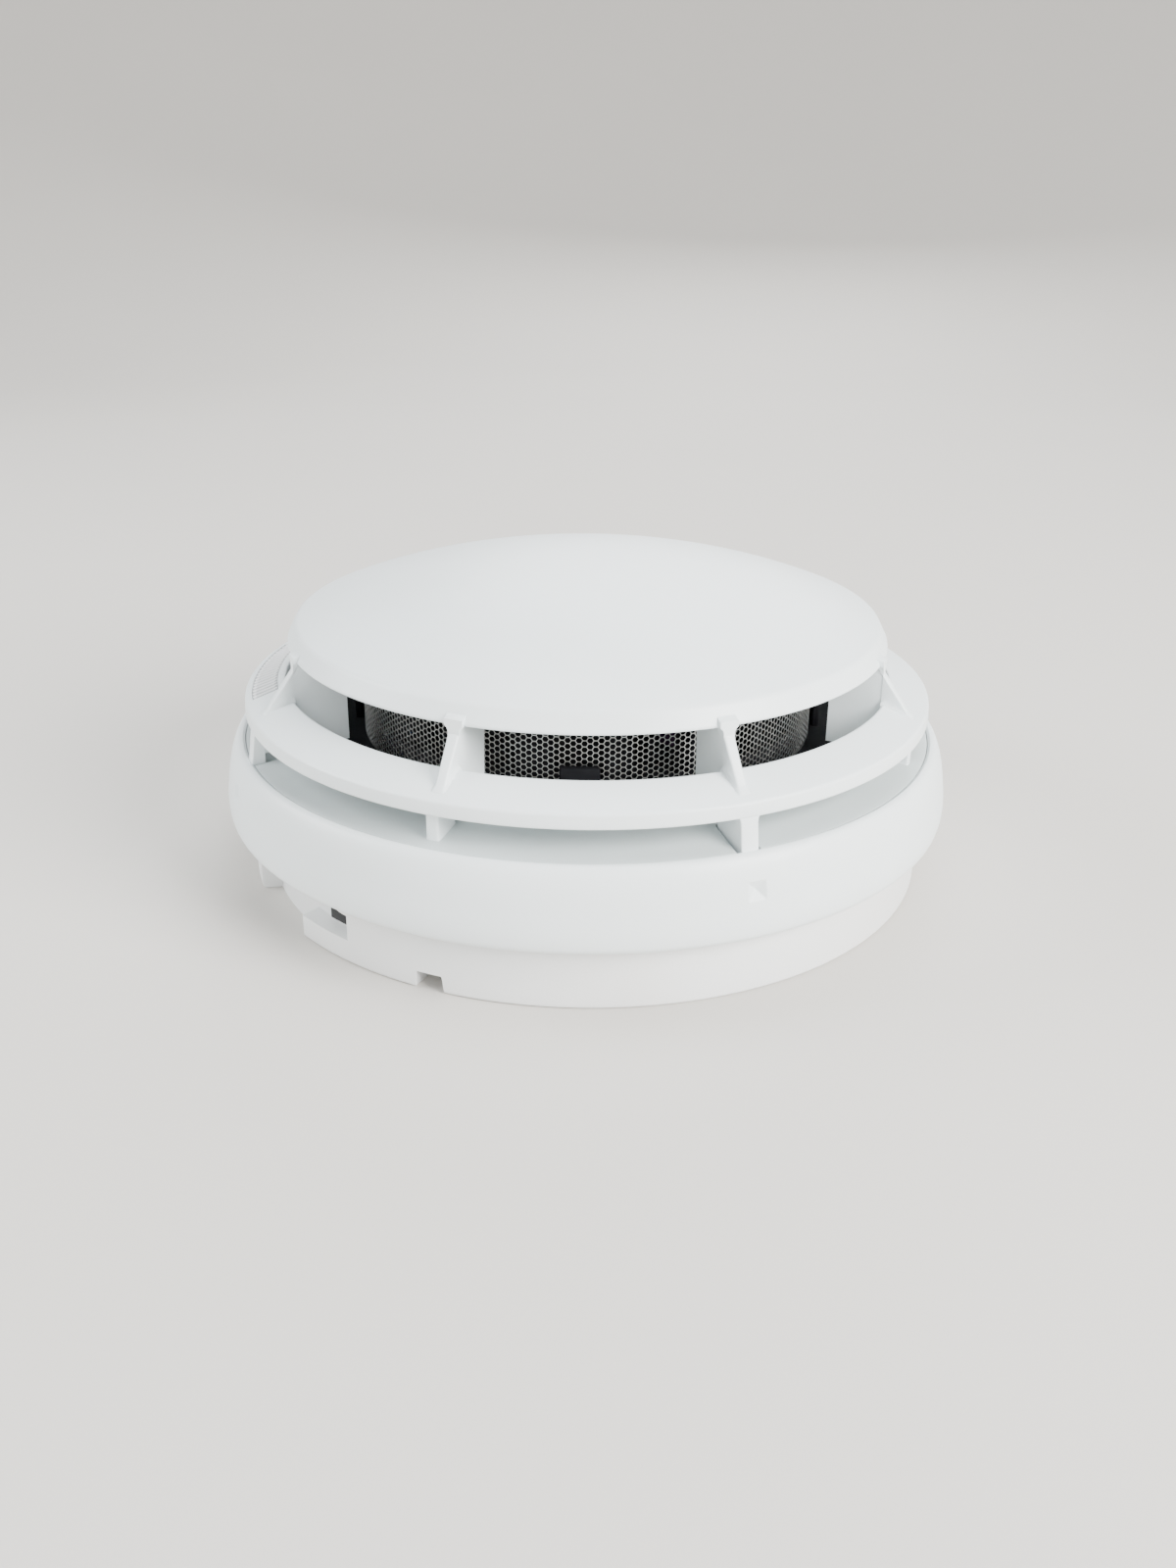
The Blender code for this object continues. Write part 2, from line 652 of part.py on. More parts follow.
def make_base_housing():
    """Mounting base: wall, floor, cable hole, terminal pads, tabs and the visible cut-outs."""
    outline = [
        (CABLE_HOLE_RADIUS, BASE_FLOOR_LOW),
        (BASE_WALL_BORE, BASE_FLOOR_LOW),
        (BASE_WALL_BORE, 0.0),
        (BASE_RADIUS - 0.5, 0.0),
        (BASE_RADIUS, 0.5),
        (BASE_RADIUS, BASE_TOP),
        (BASE_WALL_BORE, BASE_TOP),
        (BASE_WALL_BORE, BASE_FLOOR_TOP),
        (CABLE_HOLE_RADIUS + 1.6, BASE_FLOOR_TOP),
        (CABLE_HOLE_RADIUS + 1.6, 6.4),
        (CABLE_HOLE_RADIUS, 6.4),
    ]
    base = turned("base_housing", outline)
    extras = [bayonet_tab(bearing) for bearing in TAB_BEARINGS]
    for bearing in TAB_BEARINGS:
        end = bearing - TAB_HALF_ANGLE
        extras.append(ring_block("stop", (44.0, 48.2), (3.6, 8.8), end - 2.4, end - 0.6, 2))
    pad_heights = (BASE_FLOOR_TOP - 0.6, 5.9)
    for bearing in TERMINAL_BEARINGS:
        middle = bearing + SCREW_OFFSET
        extras.append(ring_block("pad", (29.0, 37.4), pad_heights, middle - 7.0, middle + 7.0, 4))
    joined(base, extras)
    low, high = -1.0, BASE_TOP + 1.0
    cutters = [
        ring_block("recess", (BASE_RECESS_RADIUS, 54.0), (low, high), *RECESS_BEARINGS, 6),
        ring_block("channel", (BASE_RECESS_RADIUS, 54.0), (CHANNEL_LOW, high),
                   RECESS_BEARINGS[1] - 0.5, CHANNEL_END, 4),
        ring_block("tool_hole", (46.5, 50.0), TOOL_HOLE_HEIGHTS, *TOOL_HOLE_BEARINGS, 2),
        ring_block("wire_notch", (46.5, 54.0), (low, NOTCH_TOP), *NOTCH_BEARINGS, 2),
        cylinder("pin_hole", 1.2, (1.0, 6.0), polar(LATCH_PIVOT_RADIUS, LATCH_PIVOT_BEARING), 12),
    ]
    for bearing in FIXING_SLOT_BEARINGS:
        cutters.append(block("fixing_slot", polar(28.0, bearing), bearing, 10.0, 4.8, (1.0, 6.0)))
    for bearing in TERMINAL_BEARINGS:
        centre = polar(TERMINAL_RADIUS, bearing + SCREW_OFFSET)
        cutters.append(cylinder("terminal_bore", 1.95, (1.0, 8.0), centre, 12))
    return cut(base, cutters)


def make_contact_strip(number, bearing):
    """Curved contact strip, from under its screw to where the head's blade ends up."""
    name = f"contact_strip_{number}"
    strip = ring_block(name, (30.2, 36.2), STRIP_HEIGHTS, bearing - 8.0, bearing + 35.0, 8)
    hole = cylinder("hole", 2.0, (5.0, 8.0), polar(TERMINAL_RADIUS, bearing + SCREW_OFFSET), 12)
    return cut(strip, [hole])


def make_clamp_washer(number, bearing):
    """Square washer that clamps the wire on the strip."""
    middle = bearing + SCREW_OFFSET
    centre = polar(TERMINAL_RADIUS, middle)
    washer = block(f"clamp_washer_{number}", centre, middle, 6.4, 6.4, (7.2, 8.0))
    return cut(washer, [cylinder("hole", 2.0, (6.0, 9.0), centre, 12)])


def make_terminal_screw(number, bearing):
    """Pan-head clamp screw with a cross recess."""
    middle = bearing + SCREW_OFFSET
    centre = polar(TERMINAL_RADIUS, middle)
    outline = [(0.0, 3.0), (1.6, 3.0), (1.6, 8.3), (2.9, 8.3), (2.9, 9.5), (2.2, 10.2), (0.0, 10.2)]
    screw = pillar(f"terminal_screw_{number}", outline, centre, 14)
    slots = [block("slot", centre, middle + turn, 3.2, 0.7, (9.2, 11.0)) for turn in (0.0, 90.0)]
    return cut(screw, slots)


def make_lock_latch():
    """Latch lever on its upright pin: pad behind the tool hole, tooth for the lock lug, sprung tail."""
    low, high = LATCH_HEIGHTS
    pivot = polar(LATCH_PIVOT_RADIUS, LATCH_PIVOT_BEARING)
    arm = ring_block("arm", (45.0, 46.6), (low + 0.2, high - 0.2), LATCH_PIVOT_BEARING + 1.0, -37.0, 8)
    tooth = ring_block("tooth", (44.6, 45.7), (high - 1.0, 9.8), -42.0, -38.0, 2)
    tail = ring_block("tail", (45.4, 46.0), (low + 0.4, high - 0.4), -72.0, LATCH_PIVOT_BEARING - 1.0, 4)
    latch = joined(cylinder("lock_latch", 1.9, (low, high), pivot, 16), [arm, tooth, tail])
    cut(latch, [cylinder("bore", 1.2, (low - 1.0, high + 1.0), pivot, 14)])
    latch.data.transform(Matrix.Translation(-pivot * MM))
    latch.location = pivot * MM
    return latch


def make_latch_pin():
    """Steel pin that the latch turns on, pressed in the base's floor."""
    outline = [(0.0, 2.9), (0.9, 2.9), (0.9, 7.7), (1.6, 7.7), (1.6, 8.3), (0.0, 8.3)]
    return pillar("latch_pin", outline, polar(LATCH_PIVOT_RADIUS, LATCH_PIVOT_BEARING), 14)


def build():
    """All pieces, each on the joint that carries it."""
    finishes = make_materials()
    pull = joint_empty("head_pull")
    twist = joint_empty("head_twist", pull)
    lift = joint_empty("cover_lift", twist)

    finish(make_base_housing(), finishes["base_plastic"])
    finish(make_latch_pin(), finishes["screw_steel"])
    for number, bearing in enumerate(TERMINAL_BEARINGS, 1):
        finish(make_contact_strip(number, bearing), finishes["contact_brass"])
        finish(make_clamp_washer(number, bearing), finishes["screw_steel"])
        finish(make_terminal_screw(number, bearing), finishes["screw_steel"])

    finish(make_lock_latch(), finishes["latch_plastic"])
    finish(make_seal_ring(), finishes["seal_rubber"], pull)

    finish(make_detector_body(), finishes["body_plastic"], twist)
    for number, bearing in enumerate(TERMINAL_BEARINGS, 1):
        finish(make_contact_blade(number, bearing), finishes["contact_brass"], twist)
    finish(make_circuit_board(), finishes["board_laminate"], twist)
    for number, bearing in enumerate(BOARD_SCREW_BEARINGS, 1):
        finish(make_board_screw(number, bearing), finishes["screw_steel"], twist)
    chip, suppressor, capacitor = make_board_parts()
    finish(chip, finishes["chip_black"], twist)
    finish(suppressor, finishes["chip_black"], twist)
    finish(capacitor, finishes["can_aluminium"], twist)
    finish(make_reed_switch(), finishes["clear_glass"], twist)
    finish(make_status_led(), finishes["red_epoxy"], twist)
    finish(make_chamber_base(), finishes["black_plastic"], twist)
    finish(make_chamber_lid(), finishes["black_plastic"], twist)
    finish(make_insect_screen(), finishes["screen_steel"], twist)
    for role, bearing in OPTIC_BEARINGS.items():
        finish(make_optic_holder(f"{role}_holder", bearing), finishes["black_plastic"], twist)
    finish(make_optic("infrared_emitter", OPTIC_BEARINGS["emitter"]), finishes["tinted_epoxy"], twist)
    finish(make_optic("photodiode", OPTIC_BEARINGS["receiver"]), finishes["tinted_epoxy"], twist)

    finish(make_outer_cover(), finishes["cover_plastic"], lift)
    finish(make_indicator_lens(), finishes["clear_plastic"], lift)


def clear_scene():
    """Empty scene to build in."""
    for obj in list(bpy.data.objects):
        bpy.data.objects.remove(obj)


clear_scene()
build()
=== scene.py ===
# Ceiling smoke detector: detector head on its twist-lock base, dressed for a close look.
# The frame is in metres; the shapes below are worked out in millimetres and scaled once, in makePiece.
# Bearings are degrees from -Y towards +X, the way the CAD counts them.
import math

import bpy
import numpy as np
from mathutils import Matrix, Vector
from mathutils.geometry import delaunay_2d_cdt


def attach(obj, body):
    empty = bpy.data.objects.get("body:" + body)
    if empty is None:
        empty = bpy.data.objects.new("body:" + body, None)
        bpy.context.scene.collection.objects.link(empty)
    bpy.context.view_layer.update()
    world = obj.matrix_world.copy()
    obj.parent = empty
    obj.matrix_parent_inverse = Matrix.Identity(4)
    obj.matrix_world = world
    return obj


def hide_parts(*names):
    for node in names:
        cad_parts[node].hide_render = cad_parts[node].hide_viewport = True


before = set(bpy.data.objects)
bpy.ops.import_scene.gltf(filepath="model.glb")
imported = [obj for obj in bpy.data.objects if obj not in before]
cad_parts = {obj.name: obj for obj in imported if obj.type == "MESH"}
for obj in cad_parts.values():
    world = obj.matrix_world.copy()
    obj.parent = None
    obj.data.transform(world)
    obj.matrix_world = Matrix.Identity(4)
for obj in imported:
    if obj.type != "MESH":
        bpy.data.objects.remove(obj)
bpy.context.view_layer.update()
mm = 0.001


viewSet = {"place": (-0.00299, -0.2092, 0.10044), "turn": 0.9, "down": 23.57, "roll": 0.643, "lens": 32.73}


def makeCamera(look):
    # forward comes from the turn about Z and the look down; right and up are then rolled about it
    turn, down, roll = (math.radians(look[key]) for key in ("turn", "down", "roll"))
    forward = Vector((math.sin(turn) * math.cos(down), math.cos(turn) * math.cos(down), -math.sin(down)))
    right = Vector((math.cos(turn), -math.sin(turn), 0.0))
    up = right.cross(forward)
    side = right * math.cos(roll) + up * math.sin(roll)
    top = up * math.cos(roll) - right * math.sin(roll)
    camera = bpy.data.objects.new("viewCamera", bpy.data.cameras.new("viewCamera"))
    camera.matrix_world = Matrix.Translation(look["place"]) @ Matrix((side, top, -forward)).transposed().to_4x4()
    camera.data.lens = look["lens"]
    camera.data.clip_start = 0.01
    bpy.context.scene.collection.objects.link(camera)
    bpy.context.scene.camera = camera


makeCamera(viewSet)


class Wire:
    # an output socket that can stand in sums
    def __init__(self, finish, socket):
        self.finish, self.socket = finish, socket

    def sum(self, operation, first, second):
        return self.finish.node("Math", {"operation": operation}, {0: first, 1: second})

    def __add__(self, other):
        return self.sum("ADD", self, other)

    def __sub__(self, other):
        return self.sum("SUBTRACT", self, other)

    def __rsub__(self, other):
        return self.sum("SUBTRACT", other, self)

    def __mul__(self, other):
        return self.sum("MULTIPLY", self, other)

    __radd__, __rmul__ = __add__, __mul__


class Finish:
    # a Principled material being written; fixed values go straight on its sockets
    def __init__(self, name, fixed):
        self.material = bpy.data.materials.new(name)
        self.material.use_nodes = True
        self.tree = self.material.node_tree
        self.shader = self.tree.nodes["Principled BSDF"]
        for socket, value in fixed.items():
            self.shader.inputs[socket].default_value = value
        self.place = self.node("TexCoord", {}, {}, "Object")

    def node(self, kind, settings, sockets, output=0):
        made = self.tree.nodes.new("ShaderNode" + kind)
        for setting, value in settings.items():
            if setting == "stops":
                while len(made.color_ramp.elements) < len(value):
                    made.color_ramp.elements.new(0.5)
                for stop, (where, colour) in zip(made.color_ramp.elements, value):
                    stop.position, stop.color = where, colour
            else:
                setattr(made, setting, value)
        for socket, value in sockets.items():
            self.feed(made.inputs[socket], value)
        return Wire(self, made.outputs[output])

    def feed(self, socket, value):
        if isinstance(value, Wire):
            self.tree.links.new(value.socket, socket)
        else:
            socket.default_value = value

    def set(self, socket, value):
        self.feed(self.shader.inputs[socket], value)

    def noise(self, size, detail=2.0, rough=0.5, place=None):
        # noise whose blobs are about size metres across
        spots = {"Vector": place or self.place, "Scale": 1.0 / size, "Detail": detail, "Roughness": rough}
        return self.node("TexNoise", {}, spots)

    def between(self, value, low, high):
        # 0 below low, 1 above high, smooth between
        return self.node("MapRange", {"interpolation_type": "SMOOTHSTEP"},
                         {"Value": value, "From Min": low, "From Max": high})

    def blend(self, share, first, second):
        return self.node("Mix", {"data_type": "RGBA"}, {0: share, 6: first, 7: second}, 2)

    def axes(self):
        parts = self.node("SeparateXYZ", {}, {0: self.place})
        outputs = parts.socket.node.outputs
        return [Wire(self, outputs[index]) for index in range(3)]

    def bump(self, height, distance, strength=1.0):
        self.set("Normal", self.node("Bump", {}, {"Height": height, "Distance": distance, "Strength": strength}))


def roundProfile(corners, closed=True, arcSteps=5):
    # Corners (radius, height, fillet). With h the half angle between the two sides, the arc touches them
    # fillet / tan(h) from the corner, and its centre is fillet / sin(h) along the bisector.
    spots = np.array([corner[:2] for corner in corners], float)
    parts = []
    for index, corner in enumerate(corners):
        spot, fillet = spots[index], corner[2]
        if fillet <= 0 or (not closed and index in (0, len(corners) - 1)):
            parts.append(spot[None])
            continue
        back, on = spots[index - 1] - spot, spots[(index + 1) % len(spots)] - spot
        back, on = back / np.linalg.norm(back), on / np.linalg.norm(on)
        half = math.acos(np.clip(back @ on, -1.0, 1.0)) / 2
        centre = spot + (back + on) / np.linalg.norm(back + on) * fillet / math.sin(half)
        start, stop = spot + back * fillet / math.tan(half) - centre, spot + on * fillet / math.tan(half) - centre
        sweep, share = math.pi - 2 * half, np.linspace(0, 1, arcSteps + 1)[:, None]
        turned = start * np.sin((1 - share) * sweep) + stop * np.sin(share * sweep)
        parts.append(centre + turned / math.sin(sweep))
    return np.vstack(parts)


def spread(line, closed=True, longest=1.6, guard=0.16):
    # extra points on the long straights: one guard from each end, then at most longest apart
    starts, ends = (line, np.roll(line, -1, 0)) if closed else (line[:-1], line[1:])
    parts = []
    for start, end in zip(starts, ends):
        length = np.linalg.norm(end - start)
        share = np.zeros(1)
        if length > 3 * guard:
            count = max(2, math.ceil((length - 2 * guard) / longest) + 1)
            share = np.r_[0, np.linspace(guard, length - guard, count) / length]
        parts.append(start + (end - start) * share[:, None])
    return np.vstack(parts if closed else parts + [line[-1:]])


def throughPoints(points, count):
    # natural cubic spline through the points, against the running length between them
    points = np.array(points, float)
    run = np.r_[0, np.cumsum(np.linalg.norm(np.diff(points, axis=0), axis=1))]
    gap, size = np.diff(run), len(run)
    matrix, rise = np.eye(size), np.zeros_like(points)
    inner = np.arange(1, size - 1)
    matrix[inner, inner - 1], matrix[inner, inner + 1] = gap[:-1], gap[1:]
    matrix[inner, inner] = 2 * (gap[:-1] + gap[1:])
    slope = np.diff(points, axis=0) / gap[:, None]
    rise[1:-1] = 6 * (slope[1:] - slope[:-1])
    bend = np.linalg.solve(matrix, rise)
    at = np.linspace(0, run[-1], count)
    piece = np.clip(np.searchsorted(run, at, side="right") - 1, 0, size - 2)
    step, x = gap[piece][:, None], (at - run[piece])[:, None]
    first, second = bend[piece], bend[piece + 1]
    return (points[piece] + x * (slope[piece] - step * (2 * first + second) / 6)
            + x ** 2 * first / 2 + x ** 3 * (second - first) / (6 * step))


def polar(radius, bearing, height):
    # (r sin b, -r cos b, z)
    angle = np.radians(bearing)
    return np.stack(np.broadcast_arrays(radius * np.sin(angle), -radius * np.cos(angle), height), -1)


def gridQuads(rows, columns, closedRows=True, closedColumns=True):
    # quads of a rows x columns grid, as row, row + 1, column + 1, column
    row, column = np.meshgrid(np.arange(rows if closedRows else rows - 1),
                              np.arange(columns if closedColumns else columns - 1), indexing="ij")
    nextRow, nextColumn = (row + 1) % rows, (column + 1) % columns
    corners = [row * columns + column, nextRow * columns + column,
               nextRow * columns + nextColumn, row * columns + nextColumn]
    return np.stack(corners, -1)


def weld(points, quads):
    # Points at one place become one. A quad with a side gone becomes a triangle; one with more gone is dropped.
    _, first, where = np.unique(np.round(points * 2e4).astype(np.int64), axis=0,
                                return_index=True, return_inverse=True)
    quads = where.reshape(-1)[quads.reshape(-1, 4)]
    same = quads == np.roll(quads, -1, 1)
    lost = same.sum(1)
    broken = quads[lost == 1]
    order = (same[lost == 1].argmax(1)[:, None] + np.array([1, 2, 3])) % 4
    return points[first], quads[lost == 0], np.take_along_axis(broken, order, 1)


def roundShell(bearings, loops, window=None):
    # (bearing, place on the profile) -> polar; closed round the axis, and along the profile or at its poles
    bearings = np.asarray(bearings, float)
    loops = np.broadcast_to(loops, (len(bearings),) + loops.shape[-2:])
    points = polar(loops[..., 0], bearings[:, None], loops[..., 1])
    rows, columns = points.shape[:2]
    onAxis = np.allclose(loops[0, [0, -1], 0], 0)
    quads = gridQuads(rows, columns, True, not onAxis)
    if window is None:
        return weld(points.reshape(-1, 3), quads)
    keep = np.ones(quads.shape[:2], bool)
    walls = []
    for rowStart, rowEnd, outerStart, outerEnd, innerStart in window:
        keep[rowStart:rowEnd, outerStart:outerEnd] = False
        keep[rowStart:rowEnd, innerStart:innerStart + outerEnd - outerStart] = False
        outer = np.arange(outerStart, outerEnd + 1)
        inner = (innerStart + outerEnd - outer) % columns
        outer = outer % columns
        for row, turn in ((rowStart, 1), (rowEnd, -1)):
            wall = np.stack([row * columns + outer[:-1], row * columns + outer[1:],
                             row * columns + inner[1:], row * columns + inner[:-1]], -1)
            walls.append(wall[:, ::-turn])
        band = np.arange(rowStart, rowEnd)
        for place, turn in ((0, -1), (-1, 1)):
            wall = np.stack([band * columns + outer[place], (band + 1) * columns + outer[place],
                             (band + 1) * columns + inner[place], band * columns + inner[place]], -1)
            walls.append(wall[:, ::-turn])
    return weld(points.reshape(-1, 3), np.vstack([quads[keep]] + walls))


def bearingLines(step, extra=()):
    # even bearings round the circle with the extra ones put in their place
    extra = np.unique(np.round(np.asarray(extra, float), 5))
    even = np.arange(-180, 180, step) + 0.0
    if len(extra):
        even = even[np.abs(even[:, None] - extra).min(1) > 0.12]
    return np.sort(np.r_[even, extra])


def softStep(value, start, width):
    # 0 before start, 1 after start + width, smooth between
    share = np.clip((value - start) / width, 0, 1)
    return share * share * (3 - 2 * share)


def fillet(distance, radius):
    # how far a quarter-round of this radius stands out at a distance from the face it runs into
    near = np.clip(distance, 0, radius)
    return radius - np.sqrt(np.maximum(radius ** 2 - (radius - near) ** 2, 0))


def sweptBlock(points):
    # rows of closed sections; the first and last close on their middle lines, joined at equal columns
    first, last = points[:1].mean(1, keepdims=True), points[-1:].mean(1, keepdims=True)
    count = points.shape[1]
    points = np.concatenate([np.repeat(first, count, 1), points, np.repeat(last, count, 1)])
    return weld(points.reshape(-1, 3), gridQuads(points.shape[0], count, False, True))


def arcBlock(radii, heights, start, end, edge=0.25, step=1.5):
    # rounded box section carried between two bearings, its ends chamfered by the same edge
    (inner, outer), (low, high) = radii, heights
    section = roundProfile([(inner, low, edge), (outer, low, edge), (outer, high, edge), (inner, high, edge)],
                           True, 3)
    middle = np.array([(inner + outer) / 2, (low + high) / 2])
    slim = middle + (section - middle) * (1 - 2 * edge / np.array([outer - inner, high - low]))
    lip = math.degrees(edge / outer)
    count = max(3, math.ceil((end - start) / step) + 1)
    bearings = np.r_[start, np.linspace(start + lip, end - lip, count), end]
    loops = np.stack([slim] + [section] * count + [slim])
    return sweptBlock(polar(loops[..., 0], bearings[:, None], loops[..., 1]))


def turnedShell(profile, centre=(0.0, 0.0), steps=32):
    # profile of (radius, height) turned about the upright line through centre
    points, quads, triangles = roundShell(np.arange(steps) * 360.0 / steps, profile[None])
    return points + np.array([centre[0], centre[1], 0.0]), quads, triangles


def flatPlate(outline, holes, low, high, edge=0.2):
    # flat plate with holes: every outline is carried up the side and drawn in by edge at both faces
    rings = []
    for loop in [outline] + holes:
        loop = np.asarray(loop, float)
        along = np.roll(loop, -1, 0) - np.roll(loop, 1, 0)
        along /= np.linalg.norm(along, axis=1, keepdims=True)
        inset = loop + np.stack([-along[:, 1], along[:, 0]], -1) * edge
        rings.append((inset, loop))
    counts = [len(loop) for _, loop in rings]
    starts = np.r_[0, np.cumsum(counts)[:-1]]
    points, quads, edges = [], [], []
    for (inset, loop), count, start in zip(rings, counts, starts):
        levels = [(inset, low), (loop, low + edge), (loop, high - edge), (inset, high)]
        points.append(np.vstack([np.c_[ring, np.full(count, height)] for ring, height in levels]))
        quads.append(gridQuads(4, count, False, True).reshape(-1, 4)[:, ::-1] + 4 * start)
        border = start + np.arange(count)
        edges += zip(border.tolist(), np.roll(border, -1).tolist())
    made = delaunay_2d_cdt([Vector(point) for inset, _ in rings for point in inset], edges, [], 2, 1e-6)
    spots, source = np.array(made[0]), np.array([origin[0] for origin in made[3]])
    triangles = np.array(made[2])
    # a triangle with all its corners on one hole's edge lies in the hole
    owner = np.repeat(np.arange(len(rings)), counts)[source[triangles]]
    triangles = triangles[(np.ptp(owner, axis=1) > 0) | (owner[:, 0] == 0)]
    first = spots[triangles[:, 1]] - spots[triangles[:, 0]]
    second = spots[triangles[:, 2]] - spots[triangles[:, 0]]
    turn = (first[:, 0] * second[:, 1] > first[:, 1] * second[:, 0])[:, None]
    # each outline has four rows of points: the first is on the lower face, the last on the upper one
    lower = np.concatenate([4 * start + np.arange(count) for start, count in zip(starts, counts)])
    upper = (lower + 3 * np.repeat(counts, counts))[source[triangles]]
    lower = lower[source[triangles]]
    faces = [np.where(turn, lower[:, ::-1], lower), np.where(turn, upper, upper[:, ::-1])]
    return np.vstack(points), np.vstack(quads), np.vstack(faces)


def makePiece(name, shells, body, finish, replaced=(), sharp=35):
    # closed shells in millimetres become one object that rides on a CAD body
    points, faces, base = [], [], 0
    for shell in shells:
        points.append(shell[0])
        for group in shell[1:]:
            faces += (group + base).tolist()
        base += len(shell[0])
    mesh = bpy.data.meshes.new(name)
    mesh.from_pydata(np.vstack(points) * mm, [], faces)
    mesh.validate()
    mesh.shade_smooth()
    mesh.set_sharp_from_angle(angle=math.radians(sharp))
    mesh.materials.append(finish.material)
    piece = bpy.data.objects.new(name, mesh)
    bpy.context.scene.collection.objects.link(piece)
    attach(piece, body)
    if replaced:
        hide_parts(*replaced)
    print(name, len(faces), "faces")
    return piece


plasticSet = {
    # grain is the fine spark texture of the mould, ripple the slow waves of a thin wall
    "cover": {"pale": (0.79, 0.845, 0.86, 1), "aged": (0.75, 0.80, 0.805, 1), "rough": 0.36, "grain": 0.00042,
              "depth": 0.000012, "dust": 0.35},
    # body: greyer tones, painted shade for the shelf that sits in the shade under the ring
    "body": {"pale": (0.57, 0.625, 0.63, 1), "aged": (0.47, 0.515, 0.51, 1), "rough": 0.46, "grain": 0.00036,
             "depth": 0.00002, "dust": 0.7},
    "base": {"pale": (0.77, 0.785, 0.785, 1), "aged": (0.72, 0.715, 0.70, 1), "rough": 0.42, "grain": 0.00045,
             "depth": 0.000014, "dust": 0.5},
    # latch: near-black tones, painted shade that makes the hole in the base's wall read dark
    "latch": {"pale": (0.014, 0.014, 0.016, 1), "aged": (0.022, 0.022, 0.024, 1), "rough": 0.6, "grain": 0.0004,
              "depth": 0.000012, "dust": 0.4},
}


def mouldedPlastic(name, look):
    # satin white: slow cloudy yellowing, dust in the grain, a few dark specks, fine scuffs in roughness
    finish = Finish(name, {"Specular IOR Level": 0.42, "Subsurface Weight": 0.06,
                           "Subsurface Radius": (0.0012, 0.0011, 0.001), "Subsurface Scale": 1.0})
    cloud = finish.between(finish.noise(0.028, 3.0), 0.35, 0.7)
    grain = finish.noise(look["grain"], 2.0, 0.55)
    dust = finish.between(finish.noise(0.0011, 3.0, 0.65), 0.58, 0.8) * cloud * look["dust"]
    specks = finish.node("TexVoronoi", {}, {"Vector": finish.place, "Scale": 420.0})
    rare = finish.between(finish.noise(0.007, 1.0), 0.68, 0.72)
    speck = (1 - finish.between(specks, 0.03, 0.07)) * rare * 0.35
    colour = finish.blend(cloud * 0.55 + dust * 0.45, look["pale"], look["aged"])
    finish.set("Base Color", finish.blend(speck, colour, (0.16, 0.15, 0.13, 1)))
    stretch = finish.node("Mapping", {}, {"Vector": finish.place, "Rotation": (0.3, 0.2, 0.9),
                                          "Scale": (1.0, 9.0, 3.0)})
    scuff = finish.between(finish.noise(0.004, 4.0, 0.7, stretch), 0.56, 0.72)
    finish.set("Roughness", scuff * 0.1 + grain * 0.12 + (look["rough"] - 0.05))
    finish.bump(grain + finish.noise(0.009, 1.0) * 2.5, look["depth"])
    return finish


def plainMoulding(name, dark, light, rough, grain=0.0005, depth=0.00002, fixed=None):
    # one-colour moulding or rubber with mottled tone and grain
    finish = Finish(name, fixed or {})
    mottle = finish.noise(0.006, 3.0)
    grit = finish.noise(grain, 3.0, 0.6)
    finish.set("Base Color", finish.blend(finish.between(mottle, 0.3, 0.75), dark, light))
    finish.set("Roughness", grit * 0.18 + mottle * 0.1 + (rough - 0.12))
    finish.bump(grit, depth)
    return finish


def sheetMetal(name, colour, stain, rough, streak=(1.0, 1.0, 14.0)):
    # rolled or plated metal: fine streaks along the rolling, tarnish in patches
    finish = Finish(name, {"Metallic": 1.0})
    along = finish.node("Mapping", {}, {"Vector": finish.place, "Scale": streak})
    lines = finish.noise(0.0009, 4.0, 0.7, along)
    patch = finish.between(finish.noise(0.0035, 4.0, 0.6), 0.5, 0.75)
    finish.set("Base Color", finish.blend(patch * 0.7, colour, stain))
    finish.set("Roughness", lines * 0.16 + patch * 0.22 + (rough - 0.06))
    finish.bump(lines, 0.000006)
    return finish


def boardLaminate(name):
    # green solder mask over a hatch of copper tracks, pale glass-cloth weave under it
    finish = Finish(name, {"Coat Weight": 0.4, "Coat Roughness": 0.15})
    across, along, _ = finish.axes()
    cells = finish.node("TexVoronoi", {"distance": "MANHATTAN", "feature": "DISTANCE_TO_EDGE"},
                        {"Vector": finish.place, "Scale": 260.0})
    tracks = finish.between(cells, 0.1, 0.16)
    weave = (finish.node("Math", {"operation": "SINE"}, {0: across * 9000.0})
             * finish.node("Math", {"operation": "SINE"}, {0: along * 9000.0}))
    mask = finish.blend(tracks, (0.010, 0.10, 0.035, 1), (0.018, 0.17, 0.065, 1))
    finish.set("Base Color", finish.blend(finish.between(weave, 0.2, 0.9) * 0.2, mask, (0.04, 0.2, 0.09, 1)))
    finish.set("Roughness", tracks * 0.12 + 0.3)
    finish.bump(tracks + weave * 0.1, 0.00003)
    return finish


def clearMoulding(name, tint, rough, depth=0.00001):
    # clear acrylic: haze and hairline scratches in roughness
    finish = Finish(name, {"Transmission Weight": 0.2, "IOR": 1.49, "Coat Weight": 0.6, "Coat Roughness": 0.04})
    haze = finish.between(finish.noise(0.0016, 4.0), 0.4, 0.75)
    finish.set("Roughness", haze * 0.14 + rough)
    finish.set("Base Color", finish.blend(haze * 0.4, tint, (0.82, 0.84, 0.83, 1)))
    finish.bump(finish.noise(0.0006, 2.0), depth)
    return finish


